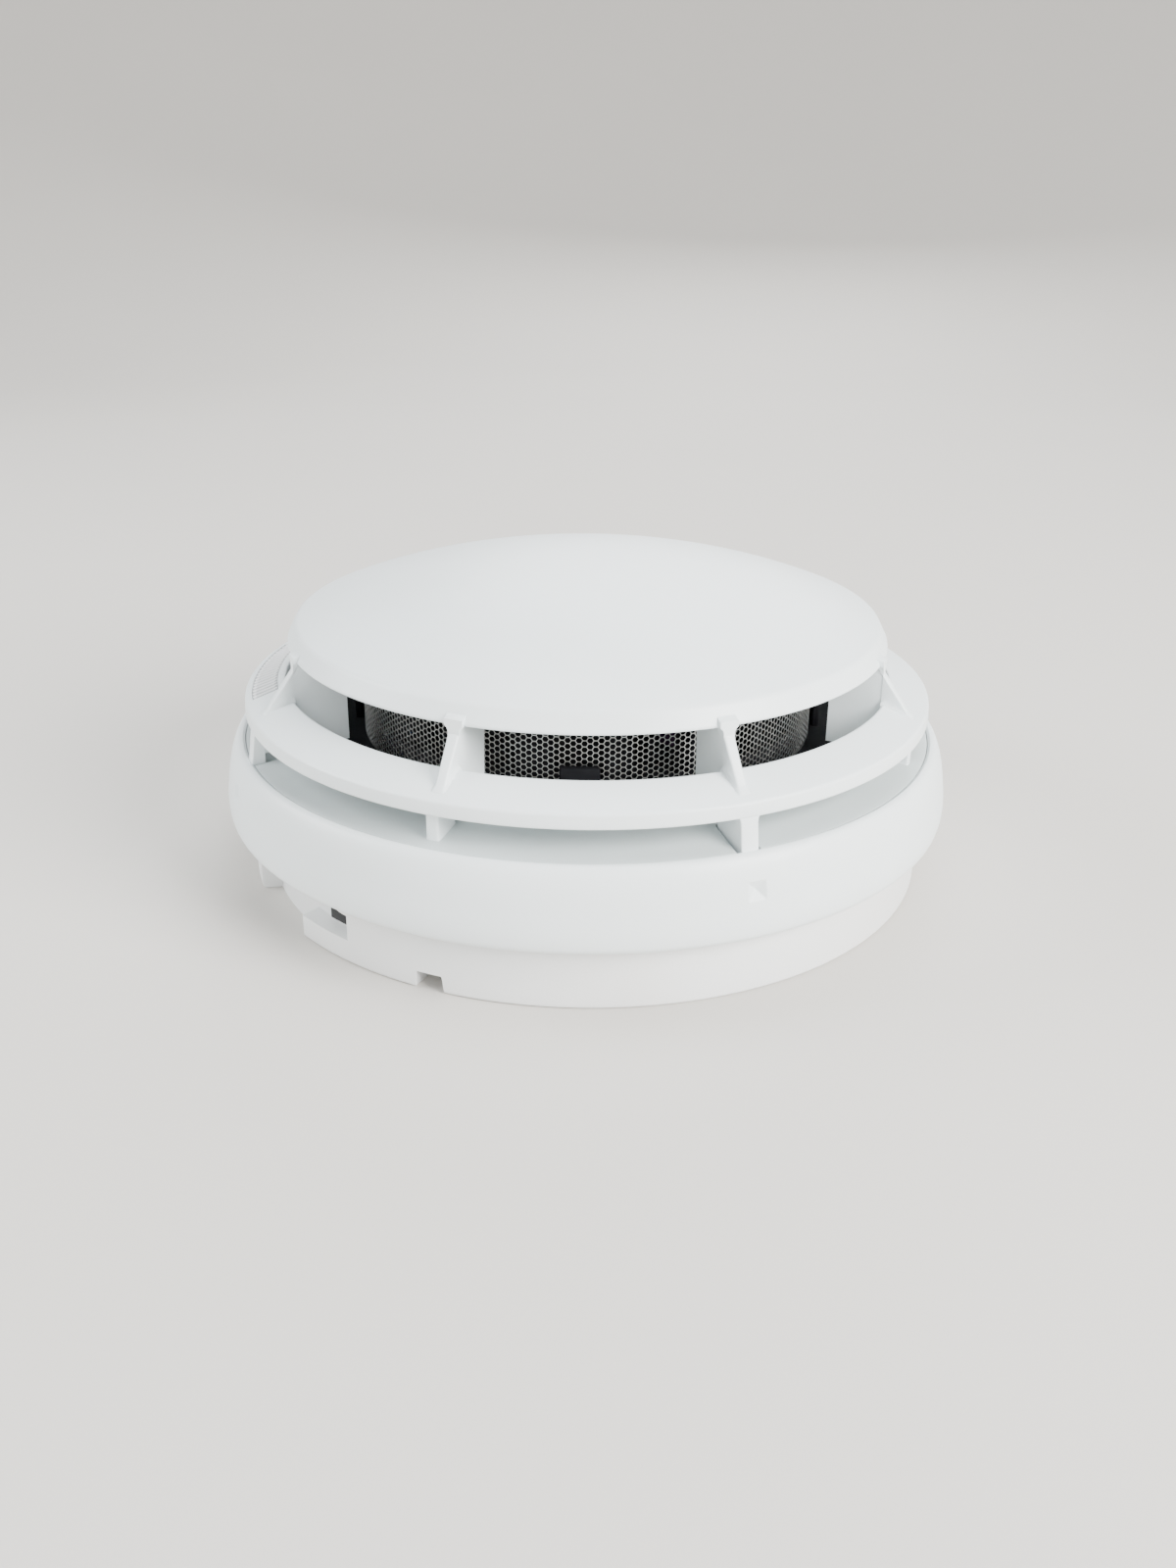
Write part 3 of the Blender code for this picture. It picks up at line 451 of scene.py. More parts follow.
def ridgedLens(finish, ridges):
    # painted highlight on the crests and painted shade in the valleys, following the saw teeth: cos(bearing x
    # ridges a turn)
    across, along, _ = finish.axes()
    bearing = finish.node("Math", {"operation": "ARCTAN2"}, {0: along, 1: across * -1.0})
    crest = finish.node("Math", {"operation": "COSINE"}, {0: bearing * ridges})
    tone = finish.between(crest + finish.noise(0.0015, 2.0) * 0.5, -0.1, 1.1)
    finish.set("Base Color", finish.blend(tone, (0.42, 0.45, 0.46, 1), (1.0, 1.0, 1.0, 1)))
    return finish


coverWhite = mouldedPlastic("coverWhite", plasticSet["cover"])
bodyShadedWhite = mouldedPlastic("bodyShadedWhite", plasticSet["body"])
baseWhite = mouldedPlastic("baseWhite", plasticSet["base"])
latchShadeBlack = mouldedPlastic("latchShadeBlack", plasticSet["latch"])
chamberBlack = plainMoulding("chamberBlack", (0.005, 0.0055, 0.007, 1), (0.010, 0.010, 0.012, 1), 0.75,
                             fixed={"Specular IOR Level": 0.12})
sealRubber = plainMoulding("sealRubber", (0.02, 0.02, 0.02, 1), (0.042, 0.041, 0.04, 1), 0.86, 0.0003)
chipBlack = plainMoulding("chipBlack", (0.014, 0.014, 0.015, 1), (0.03, 0.03, 0.032, 1), 0.55, 0.00025)
infraredTint = plainMoulding("infraredTint", (0.03, 0.012, 0.035, 1), (0.05, 0.02, 0.05, 1), 0.2, 0.001,
                             0.000004, {"Coat Weight": 0.5})
redTint = plainMoulding("redTint", (0.42, 0.015, 0.012, 1), (0.6, 0.03, 0.02, 1), 0.24, 0.001, 0.000004,
                        {"Coat Weight": 0.5, "Transmission Weight": 0.3})
screenSteel = sheetMetal("screenSteel", (0.56, 0.56, 0.55, 1), (0.36, 0.35, 0.34, 1), 0.40)
screwSteel = sheetMetal("screwSteel", (0.62, 0.62, 0.60, 1), (0.42, 0.41, 0.38, 1), 0.3, (1.0, 1.0, 1.0))
contactBrass = sheetMetal("contactBrass", (0.80, 0.62, 0.30, 1), (0.50, 0.36, 0.18, 1), 0.3, (14.0, 1.0, 1.0))
canAluminium = sheetMetal("canAluminium", (0.74, 0.75, 0.76, 1), (0.55, 0.55, 0.55, 1), 0.28)
boardGreen = boardLaminate("boardGreen")
lensClear = clearMoulding("lensClear", (0.97, 0.98, 0.98, 1), 0.08)
tubeGlass = clearMoulding("tubeGlass", (0.80, 0.92, 0.86, 1), 0.05, 0.000003)
print("finishes written")


coverSet = {
    "domeRadius": 44.0, "edgeHeight": 37.95, "rise": 7.7, "power": 2.4, "wall": 1.9,
    "ringInner": 45.65, "ringOuter": 51.9, "ringTop": 27.6, "sill": 29.8, "bandLow": 25.5,
    "firstRib": 22.5, "ribs": 8, "ribInner": 38.0, "wide": 1.25, "narrow": 0.9, "narrowTurn": -1.0,
    "dimpleRadius": 54.85, "dimpleHeight": 16.7, "dimpleHalf": 1.3, "dimpleDepth": 0.9,
    "lensMiddle": -90.0, "lensHalf": 15.0, "lensInner": 46.9, "lensOuter": 50.7,
    # the skirt's outside from its lower edge up, and its inside from the lip down as (radius, height, fillet)
    "skirtOuter": [(54.55, 9.72), (55.02, 10.15), (55.3, 10.95), (55.4, 12.2), (55.3, 13.8), (55.07, 15.4),
                   (54.85, 16.8), (54.52, 18.3), (54.1, 19.6), (53.55, 20.7), (53.1, 21.15), (52.62, 21.28)],
    "skirtInner": [(52.25, 21.1, 0.15), (52.25, 20.0, 0.3), (52.6, 19.2, 0.5), (53.1, 17.8, 1.0),
                   (53.4, 15.5, 1.5), (53.5, 13.0, 1.0), (53.0, 11.6, 0.5), (52.3, 10.7, 0.3),
                   (52.3, 9.6, 0.25), (54.3, 9.6, 0)],
}
ribBearings = coverSet["firstRib"] + 360.0 / coverSet["ribs"] * np.arange(coverSet["ribs"])


def domeHeight(radius):
    # edge + rise (1 - (r / R) ^ power)
    look = coverSet
    share = np.asarray(radius, float) / look["domeRadius"]
    return look["edgeHeight"] + look["rise"] * (1 - share ** look["power"])


def shelfHeight(radius):
    # the body's shelf falls outwards by 1.5 mm
    return np.interp(radius, [45.6, 52.14], [22.16, 21.1])


def ringHeight(radius):
    # straight slope from the sill down to the top of the band
    look = coverSet
    share = (np.asarray(radius, float) - look["ringInner"]) / (look["ringOuter"] - 0.15 - look["ringInner"])
    return look["sill"] + (look["ringTop"] - look["sill"]) * share


def capShell():
    # the dome's curve, a 1.2 mm edge, the leaning rim, then the dome's curve again one wall lower
    wall = coverSet["wall"]
    under = np.linspace(0, 40.0, 22)
    over = np.linspace(43.1, 0, 34)
    rim = roundProfile([(under[-1], float(domeHeight(under[-1])) - wall, 0), (42.2, 36.7, 0.6), (43.4, 35.2, 0.5),
                        (45.22, 35.2, 0.35), (43.72, 38.08, 1.25), (over[0], float(domeHeight(over[0])), 0)],
                       False, 6)
    profile = np.vstack([np.c_[under[:-1], domeHeight(under[:-1]) - wall],
                         spread(rim, False, 1.0), np.c_[over[1:], domeHeight(over[1:])]])
    return roundShell(bearingLines(1.5), profile[None])


def ringShell():
    # sloped ring with the lens window through it; the window's columns face each other top and bottom
    look = coverSet
    inner, outer, sill, band = look["ringInner"], look["ringOuter"], look["sill"], look["bandLow"]
    start, end = look["lensMiddle"] - look["lensHalf"], look["lensMiddle"] + look["lensHalf"]
    bearings = bearingLines(1.5, [start, end])
    sillEdge = roundProfile([(46.3, 27.78, 0), (inner, 28.0, 0.25), (inner, sill, 0.3), (46.3, 29.56, 0)], False)
    sillEdge[-1, 1] = ringHeight(46.3)
    bandEdge = roundProfile([(look["lensOuter"], band, 0), (outer, band, 0.35),
                             (outer - 0.15, look["ringTop"], 0.55), (50.9, 27.9, 0)], False)
    topWindow = np.array([look["lensOuter"], 49.9, 49.2, 48.4, 47.6, look["lensInner"]])
    underWindow = np.array([(look["lensInner"], 27.57), (48.4, 27.04), (49.9, 26.5), (50.05, 26.2), (50.2, band),
                            (look["lensOuter"], band)])
    profile = np.vstack([underWindow, bandEdge[1:], np.c_[topWindow, ringHeight(topWindow)], sillEdge[::-1]])
    top = len(underWindow) + len(bandEdge) - 1
    rows = [int(np.abs(bearings - edge).argmin()) for edge in (start, end)]
    return roundShell(bearings, profile[None], [(rows[0], rows[1], top, top + len(topWindow) - 1, 0)])


def skirtShell():
    # spline wall with a four-sided pit on every second strut: depth (1 - max(|x|, |z|) / half)
    look = coverSet
    outer = throughPoints(look["skirtOuter"], 46)
    fine = np.arange(15.3, 18.11, 0.1)
    low, high = outer[outer[:, 1] < fine[0] - 0.1], outer[outer[:, 1] > fine[-1] + 0.1]
    middle = np.c_[np.interp(fine, outer[:, 1], outer[:, 0]), fine]
    inner = roundProfile(look["skirtInner"], False, 3)
    profile = np.vstack([low, middle, high, spread(inner, False, 1.5)])
    across = np.linspace(-1.45, 1.45, 30)
    pits = (ribBearings[::2] + 180) % 360 - 180
    bearings = bearingLines(1.5, (pits[:, None] + np.degrees(across / look["dimpleRadius"])).ravel())
    side = np.abs(np.radians(bearings[:, None] - pits)).min(1) * look["dimpleRadius"]
    reach = np.maximum(side[:, None], np.abs(profile[:, 1] - look["dimpleHeight"])[None]) / look["dimpleHalf"]
    depth = np.clip(1 - reach, 0, 1) * look["dimpleDepth"] * (np.arange(len(profile)) < len(low) + len(fine))
    loops = np.repeat(profile[None], len(bearings), 0)
    loops[..., 0] -= depth
    return roundShell(bearings, loops)


def finSections(levels, inner, outer, half, corner):
    # closed level sections of a standing plate: (radius, side) from the inner end round the rounded front.
    # outer and half may change with height; half(radius, height) carries the fillets at both ends.
    share = np.array([0.0, 0.1, 0.25, 0.4, 0.55, 0.7, 0.8, 0.88, 0.94, 0.98, 1.0])
    turn = np.radians([22.5, 45, 67.5, 90])
    along = np.r_[share, np.ones(4)]
    push = np.r_[np.zeros(len(share)), corner * np.sin(turn)]
    inset = np.r_[np.zeros(len(share)), corner * (1 - np.cos(turn))]
    along, push, inset = (np.r_[part, part[::-1]] for part in (along, push, inset))
    sign = np.r_[np.ones(len(along) // 2), -np.ones(len(along) // 2)]
    radius = inner + along * (outer[:, None] - corner - inner) + push
    height = levels(radius)
    width = half(radius, height) - inset
    return radius, sign * width, height


def standAt(bearing, radius, side, height):
    # (r sin b + s cos b, -r cos b + s sin b, z)
    angle = math.radians(bearing)
    return np.stack([radius * math.sin(angle) + side * math.cos(angle),
                     -radius * math.cos(angle) + side * math.sin(angle), height], -1)


def ribShells(bearing):
    # outer fin from the cap down to the ring, its front leaning out 2/3 mm for each mm down, and a slightly
    # thinner inner plate that hangs down behind the sill
    share = (1 - np.cos(np.linspace(0, math.pi, 27))) / 2

    def levels(low):
        def at(radius):
            slope = np.interp(radius, [43.2, 45.2], [37.3, 36.2])
            top = np.where(radius < 43.2, domeHeight(radius) - 0.9, slope)
            return low + (top - low) * share[:, None]
        return at

    def half(thin):
        def at(radius, height):
            plain = np.interp(height, [28.4, 35.0], [0.66, 0.80]) - thin
            foot = fillet(height - ringHeight(radius), 0.45) * (thin == 0)
            dome = domeHeight(radius) - coverSet["wall"] - 0.35 * (radius > 41)
            ceiling = np.where(radius < 43.4, dome, 35.2)
            return plain + foot + fillet(ceiling - height, 0.5)
        return at

    middle = 27.0 + 9.9 * share
    outer = 49.75 - (middle - 28.4) * 0.667 + fillet(middle - 28.3, 0.35)
    fin = sweptBlock(standAt(bearing, *finSections(levels(27.2), 45.5, outer, half(0), 0.3)))
    inset = np.minimum(46.3, 49.2 - (22.9 + 13.6 * share - 28.4) * 0.667)
    sections = finSections(levels(22.9), coverSet["ribInner"], inset, half(0.07), 0.1)
    plate = sweptBlock(standAt(bearing, *sections))
    return [fin, plate]


def shortStrutShell(bearing, halfWidth):
    # plate set back under the ring, its foot on the sloping shelf of the body
    inner, outer = 45.9, 50.45
    share = (1 - np.cos(np.linspace(0, math.pi, 19))) / 2

    def levels(radius):
        top = np.interp(radius, [45.9, 49.9, 50.2, 51.0], [28.6, 27.2, 26.6, 26.5])
        bottom = shelfHeight(radius) + 0.04
        return bottom + (top - bottom) * share[:, None]

    def half(radius, height):
        under = np.interp(radius, [45.9, 49.9, 50.2], [27.9, 26.5, 26.2])
        return halfWidth + fillet(under - height, 0.35) + fillet(height - shelfHeight(radius), 0.25)

    return sweptBlock(standAt(bearing, *finSections(levels, inner, np.full_like(share, outer), half, 0.35)))


def longStrutShell(bearing, halfWidth, inner):
    # plate from under the ring down inside the skirt, its front flush with band and lip
    bottom = 14.0
    share = (1 - np.cos(np.linspace(0, math.pi, 23))) / 2

    def levels(radius):
        top = np.interp(radius, [45.9, 50.0, 50.3, 52.0], [28.6, 27.2, 26.5, 26.3])
        return bottom + (top - bottom) * share[:, None]

    def half(radius, height):
        under = np.interp(radius, [45.9, 49.9, 50.2], [27.9, 26.5, 25.5])
        return halfWidth + fillet(under - height, 0.4)

    middle = bottom + 12.4 * share
    outer = np.interp(middle, [bottom, 20.3, 21.2, 25.5, 26.4], [53.9, 53.1, 52.42, 51.84, 51.5])
    return sweptBlock(standAt(bearing, *finSections(levels, inner, outer, half, 0.2)))


coverShells = [capShell(), ringShell(), skirtShell()]
coverShells += [shell for bearing in ribBearings for shell in ribShells(bearing)]
# every second wide strut is only a post at the skirt
coverShells += [longStrutShell(bearing, coverSet["wide"], inner)
                for bearing, inner in zip(ribBearings[::2], (45.9, 50.5, 45.9, 50.5))]
coverShells += [shortStrutShell(bearing + coverSet["narrowTurn"], coverSet["narrow"])
                for bearing in ribBearings[1::2]]
makePiece("outerCover", coverShells, "cover", coverWhite, ["outer_cover"])


lensSet = {"inner": 46.97, "outer": 50.63, "half": 14.92, "ridges": 20, "ridge": 0.55, "below": 0.02}
# the lens's colour carries painted highlight on its ridges and painted shade between them
ridgedLens(lensClear, 180.0 * lensSet["ridges"] / lensSet["half"])


def lensShell(look):
    # saw-toothed plate: top = slope - below - ridge on every second line; the ridges run outwards
    count = 2 * look["ridges"] + 1
    turn = np.linspace(-look["half"], look["half"], count)
    dip = look["ridge"] * (np.arange(count) % 2)
    radii = np.array([look["outer"], 50.1, 49.5, 48.8, 48.0, 47.5, look["inner"]])
    fade = np.array([0.1, 1, 1, 1, 1, 1, 0.1])
    top = ringHeight(radii) - look["below"] - dip[:, None] * fade
    outline = np.concatenate([np.stack([np.broadcast_to(radii, top.shape), top], -1),
                              np.broadcast_to([[[look["inner"], 27.2], [48.8, 26.7], [look["outer"], 26.0]]],
                                              (count, 3, 2))], 1)[:, ::-1]
    bearings = coverSet["lensMiddle"] + turn[:, None]
    return sweptBlock(polar(outline[..., 0], bearings, outline[..., 1])[:, ::-1])


pipeShells = [lensShell(lensSet),
              arcBlock((40.0, 48.4), (25.5, 27.05), -92.1, -87.9, 0.3),
              arcBlock((39.85, 41.35), (20.0, 26.9), -92.1, -87.9, 0.3)]
makePiece("indicatorLens", pipeShells, "cover", lensClear, ["indicator_lens"], 20)


screenSet = {
    "inner": 34.22, "outer": 34.35, "unrolled": 34.2, "low": 20.95, "high": 35.0, "columns": 288, "rows": 15,
    "hole": 0.885,
}


def screenShell(look):
    # Six-sided cells on an unrolled sheet: columns stand 1.5 s apart with every second one half a cell up.
    # Each cell is a ring between its outline and a hole of the same shape; the sheet is then rolled up.
    side = 2 * math.pi * look["unrolled"] / (1.5 * look["columns"])
    tall = side * math.sqrt(3)
    start = (look["low"] + look["high"]) / 2 - tall * (look["rows"] - 0.5) / 2
    column, row = np.meshgrid(np.arange(look["columns"]), np.arange(look["rows"]), indexing="ij")
    x0 = (column * 1.5 * side).ravel()
    z0 = (start + tall * (row + 0.5 * (column % 2))).ravel()
    corner = np.radians(60.0 * np.arange(6))
    ringX, ringZ = side * np.cos(corner), side * np.sin(corner)
    scales = np.array([1.0, look["hole"]])
    x = x0[:, None, None] + scales[:, None] * ringX
    z = z0[:, None, None] + scales[:, None] * ringZ
    cells = len(x0)
    radii = np.array([look["outer"], look["inner"]])
    # axes: face (outer, inner), cell, outline or hole, corner
    angle = np.degrees(x / look["unrolled"])
    points = np.stack([polar(radius, angle, z) for radius in radii])
    index = np.arange(points.size // 3).reshape(2, cells, 2, 6)
    on = np.roll(index, -1, -1)
    front = np.stack([index[0, :, 0], on[0, :, 0], on[0, :, 1], index[0, :, 1]], -1)
    back = np.stack([index[1, :, 0], index[1, :, 1], on[1, :, 1], on[1, :, 0]], -1)
    wall = np.stack([index[0, :, 1], on[0, :, 1], on[1, :, 1], index[1, :, 1]], -1)
    quads = [part.reshape(-1, 4) for part in (front, back, wall)]
    points = [points.reshape(-1, 3)]
    base = len(points[0])
    # plain margins: the zigzag outline of the last row is carried straight to the sheet's edge
    even = np.arange(0, look["columns"], 2) * 1.5 * side
    for edge, sign in ((look["high"], 1), (look["low"], -1)):
        stepX = np.stack([even - side / 2, even + side / 2, even + side, even + 2 * side], -1).ravel()
        ends = start + tall * (look["rows"] * (sign > 0) + np.array([-0.5, -0.5, 0.0, 0.0]))
        stepZ = np.tile(ends, len(even))
        turn = np.degrees(stepX / look["unrolled"])
        lines = [polar(look["outer"], turn, stepZ), polar(look["outer"], turn, edge),
                 polar(look["inner"], turn, edge), polar(look["inner"], turn, stepZ)]
        points.append(np.stack(lines, 1).reshape(-1, 3))
        grid = gridQuads(len(stepX), 4, True, False).reshape(-1, 4)
        quads.append((grid if sign > 0 else grid[:, ::-1]) + base)
        base += len(stepX) * 4
    return weld(np.vstack(points), np.vstack(quads))


makePiece("insectScreen", [screenShell(screenSet)], "head", screenSteel, ["insect_screen"])


bodySet = {
    "notch": 45.6, "notchLow": 20.6, "notchTop": 22.12, "clear": 0.42,
    # radii and heights of the bayonet lugs, the latch's catch and the nibs that hold the cover
    "lug": ((41.2, 45.5), (5.4, 7.2)), "lugStart": 8.0, "lugEnd": 22.0,
    "catch": ((46.0, 46.9), (8.0, 11.5)), "nib": ((50.6, 52.0), (11.9, 13.1)),
}


def bodyShell(look):
    # spool section turned round the axis; at each strut the flange's loop is drawn in to its root
    flange = roundProfile([(44.5, 20.35, 0), (45.6, 20.55, 0.3), (52.14, 19.7, 0.2), (52.14, 21.1, 0.12),
                           (45.6, 22.16, 0), (43.0, 22.6, 0)], False)
    flange = spread(flange, False, 1.0)
    lower = roundProfile([(0, 11.0, 0), (40.3, 11.0, 0.4), (40.3, 5.4, 0.3), (42.0, 5.4, 0.3), (42.0, 11.0, 0.4),
                          (47.4, 11.0, 0.2), (47.4, 12.5, 0.2), (50.9, 12.5, 0.2), (50.9, 11.0, 0.1),
                          (51.4, 11.0, 0.1), (51.4, 13.4, 0.3), (44.5, 13.4, 0.5), (44.5, 20.35, 0)], False, 3)
    lower = spread(lower, False, 3.0)
    upper = spread(roundProfile([(43.0, 22.6, 0), (43.0, 12.6, 0.4), (0, 12.6, 0)], False, 3), False, 4.0)
    profile = np.vstack([lower, flange[1:-1], upper])
    low, high = len(lower), len(lower) + len(flange) - 2
    span = profile[low:high]
    past = np.flatnonzero(span[:, 0] > look["notch"])
    first, last = low + past[0], low + past[-1]
    drawn = profile.copy()
    drawn[first:last + 1, 0] = look["notch"]
    drawn[first:last + 1, 1] = np.linspace(look["notchLow"], look["notchTop"], last + 1 - first)
    centres = (ribBearings[::2] + 180) % 360 - 180
    turns = np.full(len(centres), np.degrees(math.asin((coverSet["wide"] + look["clear"]) / 49.5)))
    edges = np.r_[centres - turns, centres + turns]
    bearings = np.sort(np.r_[bearingLines(1.5, edges), edges])  # each notch's edge stands twice
    inside = np.zeros(len(bearings), bool)
    for centre, turn in zip(centres, turns):
        close = np.flatnonzero(np.abs(bearings - centre) <= turn + 1e-4)
        inside[close[1]:close[-1]] = True
    loops = np.where(inside[:, None, None], drawn, profile)
    return roundShell(bearings, loops)


chamberSet = {
    "vanes": 16, "firstVane": 4.0, "half": 0.55, "tabs": (-2.2, 87.8, 177.8, 267.8), "tabHalf": 4.4,
    "feet": (60.0, 180.0, 300.0), "passage": (-92.8, -87.2),
}


def vaneShell(bearing, look):
    # bent labyrinth wall: a curve through three points, thickened to both sides, standing on the floor
    path = throughPoints(np.array([polar(31.4, bearing, 0), polar(28.4, bearing + 7.5, 0),
                                   polar(25.6, bearing + 1.5, 0)])[:, :2], 13)
    along = np.gradient(path, axis=0)
    along /= np.linalg.norm(along, axis=1, keepdims=True)
    aside = np.stack([along[:, 1], -along[:, 0]], -1)
    slim = look["half"] * np.sqrt(np.clip(1 - np.linspace(-1, 1, 13) ** 8, 0.2, 1))[:, None]
    outline = np.vstack([path + aside * slim, (path - aside * slim)[::-1]])[::-1]
    middle = outline.mean(0)
    rows = [np.c_[middle + (outline - middle) * size, np.full(len(outline), height)]
            for height, size in ((21.8, 1.0), (33.35, 1.0), (33.55, 0.985), (33.6, 0.96))]
    return sweptBlock(np.array(rows))


def chamberFloor(look):
    # stepped floor: seat for the screen inside, lower flange outside, a passage for the light pipe through it
    profile = roundProfile([(0, 21.0, 0), (32.2, 21.0, 0.3), (32.2, 19.7, 0.3), (39.3, 19.7, 0), (41.9, 19.7, 0),
                            (42.6, 19.7, 0.3), (42.6, 20.9, 0.3), (41.9, 20.9, 0), (39.3, 20.9, 0),
                            (33.65, 20.9, 0.2), (33.65, 24.4, 0.25), (32.7, 24.4, 0.25), (32.7, 22.3, 0.3),
                            (0, 22.3, 0)], False, 3)

    def at(radius, height):
        return int(np.abs(profile - np.array([radius, height])).sum(1).argmin())

    bearings = bearingLines(2.0, look["passage"])
    rows = [int(np.abs(bearings - edge).argmin()) for edge in look["passage"]]
    window = (rows[0], rows[1], at(41.9, 20.9), at(39.3, 20.9), at(39.3, 19.7))
    return roundShell(bearings, profile[None], [window])


chamberShells = [chamberFloor(chamberSet)]
chamberShells += [vaneShell(360.0 / chamberSet["vanes"] * index + chamberSet["firstVane"], chamberSet)
                  for index in range(chamberSet["vanes"])]
chamberShells += [arcBlock((34.85, 35.9), (20.5, 27.0), middle - chamberSet["tabHalf"],
                           middle + chamberSet["tabHalf"], 0.25) for middle in chamberSet["tabs"]]
footProfile = roundProfile([(0, 15.8, 0), (2.0, 15.8, 0.2), (2.0, 20.2, 0), (0, 20.2, 0)], False, 3)
chamberShells += [turnedShell(footProfile, polar(37.5, bearing, 0)[:2], 24) for bearing in chamberSet["feet"]]
makePiece("chamberBase", chamberShells, "head", chamberBlack, ["chamber_base"])


tabMiddles = np.array([20.0, 140.0, 260.0])
bodyShells = [bodyShell(bodySet)]
bodyShells += [arcBlock(*bodySet["lug"], middle + bodySet["lugStart"], middle + bodySet["lugEnd"], 0.35)
               for middle in tabMiddles]
bodyShells += [arcBlock(*bodySet["catch"], -31.5, -28.5, 0.2)]
bodyShells += [arcBlock(*bodySet["nib"], middle - 3.0, middle + 3.0, 0.3) for middle in ribBearings[::2]]
# the body's greyed finish is painted shade on the shelf under the ring
makePiece("detectorBody", bodyShells, "head", bodyShadedWhite, ["detector_body"])


sealSet = {"inner": 47.7, "outer": 50.6, "low": 10.8, "high": 12.2, "round": 0.35}
sealProfile = roundProfile([(sealSet[side], sealSet[level], sealSet["round"]) for side, level in
                            (("inner", "low"), ("outer", "low"), ("outer", "high"), ("inner", "high"))], True, 4)
makePiece("sealRing", [roundShell(bearingLines(2.0), sealProfile[None])], "seal", sealRubber,
          ["seal_ring"])


baseSet = {
    "outer": 52.0, "inner": 47.3, "top": 10.5, "recess": 49.2, "recessStart": -68.4, "recessEnd": -50.7,
    "channelEnd": -39.0, "channelLow": 3.7, "holeStart": -45.6, "holeLow": 4.3, "holeTop": 7.2,
    "notchStart": -26.4, "notchEnd": -21.4, "notchTop": 2.6, "soft": 0.5,
    "floor": (2.6, 4.2), "cableHole": 14.0, "slotRadius": 28.0, "slotLong": 10.0, "slotWide": 4.8,
    "screwRadius": 33.2, "screwHole": 1.95,
    # radii and heights of the terminal pads, the bayonet tabs and the tabs' stops
    "pad": ((29.0, 37.4), (3.6, 5.9)), "tab": ((43.2, 47.8), (7.6, 9.4)), "stop": ((44.0, 47.8), (3.6, 8.8)),
    "tabHalf": 7.0,
}


def baseWall(look):
    # wall section round the axis; its outer radius dips in the recess and along the tool channel, and its
    # foot lifts over the wire notch: r = outer - dip(bearing, height), z = max(z, lift(bearing))
    soft = look["soft"]
    steps = np.array([0, 0.2, 0.4, 0.6, 0.8, 1.0]) * soft
    marks = [look["recessStart"] - soft, look["recessEnd"], look["notchStart"], look["notchEnd"] - soft]
    channel = np.arange(look["recessEnd"] + 1.0, look["channelEnd"] - 0.2, 0.5)
    ends = [look["holeStart"], look["channelEnd"], look["channelEnd"] + 0.13]
    extra = np.r_[(np.array(marks)[:, None] + steps).ravel(), channel, ends]
    bearings = bearingLines(1.5, extra)
    wide, bore, rim = look["outer"], look["inner"], look["top"]
    outer = roundProfile([(51.0, 0, 0), (wide, 0, 0.55), (wide, rim, 0.45), (51.0, rim, 0)], False)[1:-1]
    sides = np.array([2.45, 2.6, 3.3, 3.5, 3.6, 3.7, 3.8, 3.9, 4.1, look["holeLow"], 5.0, 6.0, look["holeTop"],
                      look["holeTop"] + 0.12, 7.9, 8.7, 9.5])
    half = len(outer) // 2
    foot, head = outer[:half], outer[half:]
    hole = [look["holeLow"], 5.0, 6.0, look["holeTop"]]  # the same heights on both sides of the wall
    inner = roundProfile([(48.5, rim, 0), (bore, rim, 0.4), (bore, 0, 0.3), (48.5, 0, 0)], False, 3)
    turned = len(inner) // 2
    innerSide = np.array([9.0] + hole[::-1] + [3.0, 2.6, 2.45])
    profile = np.vstack([foot, np.c_[np.full(len(sides), wide), sides], head,
                         inner[:turned], np.c_[np.full(len(innerSide), bore), innerSide], inner[turned:]])
    height = profile[None, :, 1]
    turn = bearings[:, None]
    inRecess = softStep(turn, look["recessStart"] - soft, soft) * (1 - softStep(turn, look["recessEnd"], soft))
    rising = softStep(turn, look["recessEnd"] + 0.5, look["channelEnd"] - look["recessEnd"] - 0.5)
    above = softStep(height, look["channelLow"] - 0.2, 0.2)
    deep = 1 - rising * np.where(height < look["holeTop"] + 0.05, 0.2, 1.0)
    inChannel = ((turn >= look["recessEnd"]) & (turn <= look["channelEnd"] + 1e-4)) * deep * above
    dip = np.maximum(inRecess, inChannel) * (wide - look["recess"])
    outside = profile[None, :, 0] > look["recess"] + 0.5
    lift = softStep(turn, look["notchStart"], soft) * (1 - softStep(turn, look["notchEnd"] - soft, soft))
    loops = np.repeat(profile[None], len(bearings), 0)
    loops[..., 0] -= np.where(outside, dip * (profile[None, :, 0] - look["recess"]) / (wide - look["recess"]), 0)
    loops[..., 1] = np.maximum(loops[..., 1], lift * look["notchTop"])
    rows = [int(np.abs(bearings - edge).argmin()) for edge in (look["holeStart"], look["channelEnd"])]
    start = len(foot) + list(sides).index(look["holeLow"])
    back = len(foot) + len(sides) + len(head) + turned + 1
    return roundShell(bearings, loops, [(rows[0], rows[1], start, start + 3, back)])


def circle(radius, count, centre=(0.0, 0.0)):
    # even points, counter-clockwise
    angle = np.linspace(0, 2 * math.pi, count, endpoint=False)
    return np.stack([centre[0] + radius * np.cos(angle), centre[1] + radius * np.sin(angle)], -1)


def slotOutline(centre, length, width, bearing, count=9):
    # two straight sides along a bearing with half-round ends
    half, turn = width / 2, np.radians(np.linspace(-90, 90, count))
    end = np.stack([(length / 2 - half) + half * np.cos(turn), half * np.sin(turn)], -1)
    points = np.vstack([end, -end])
    angle = math.radians(bearing - 90)
    turned = points @ np.array([[math.cos(angle), math.sin(angle)], [-math.sin(angle), math.cos(angle)]])
    return turned + np.asarray(centre)


def levelPoint(radius, bearing):
    return polar(radius, bearing, 0.0)[:2]


terminalBearings = np.array([15.0, 105.0, 195.0, 285.0])
screwBearings = terminalBearings + 29.0


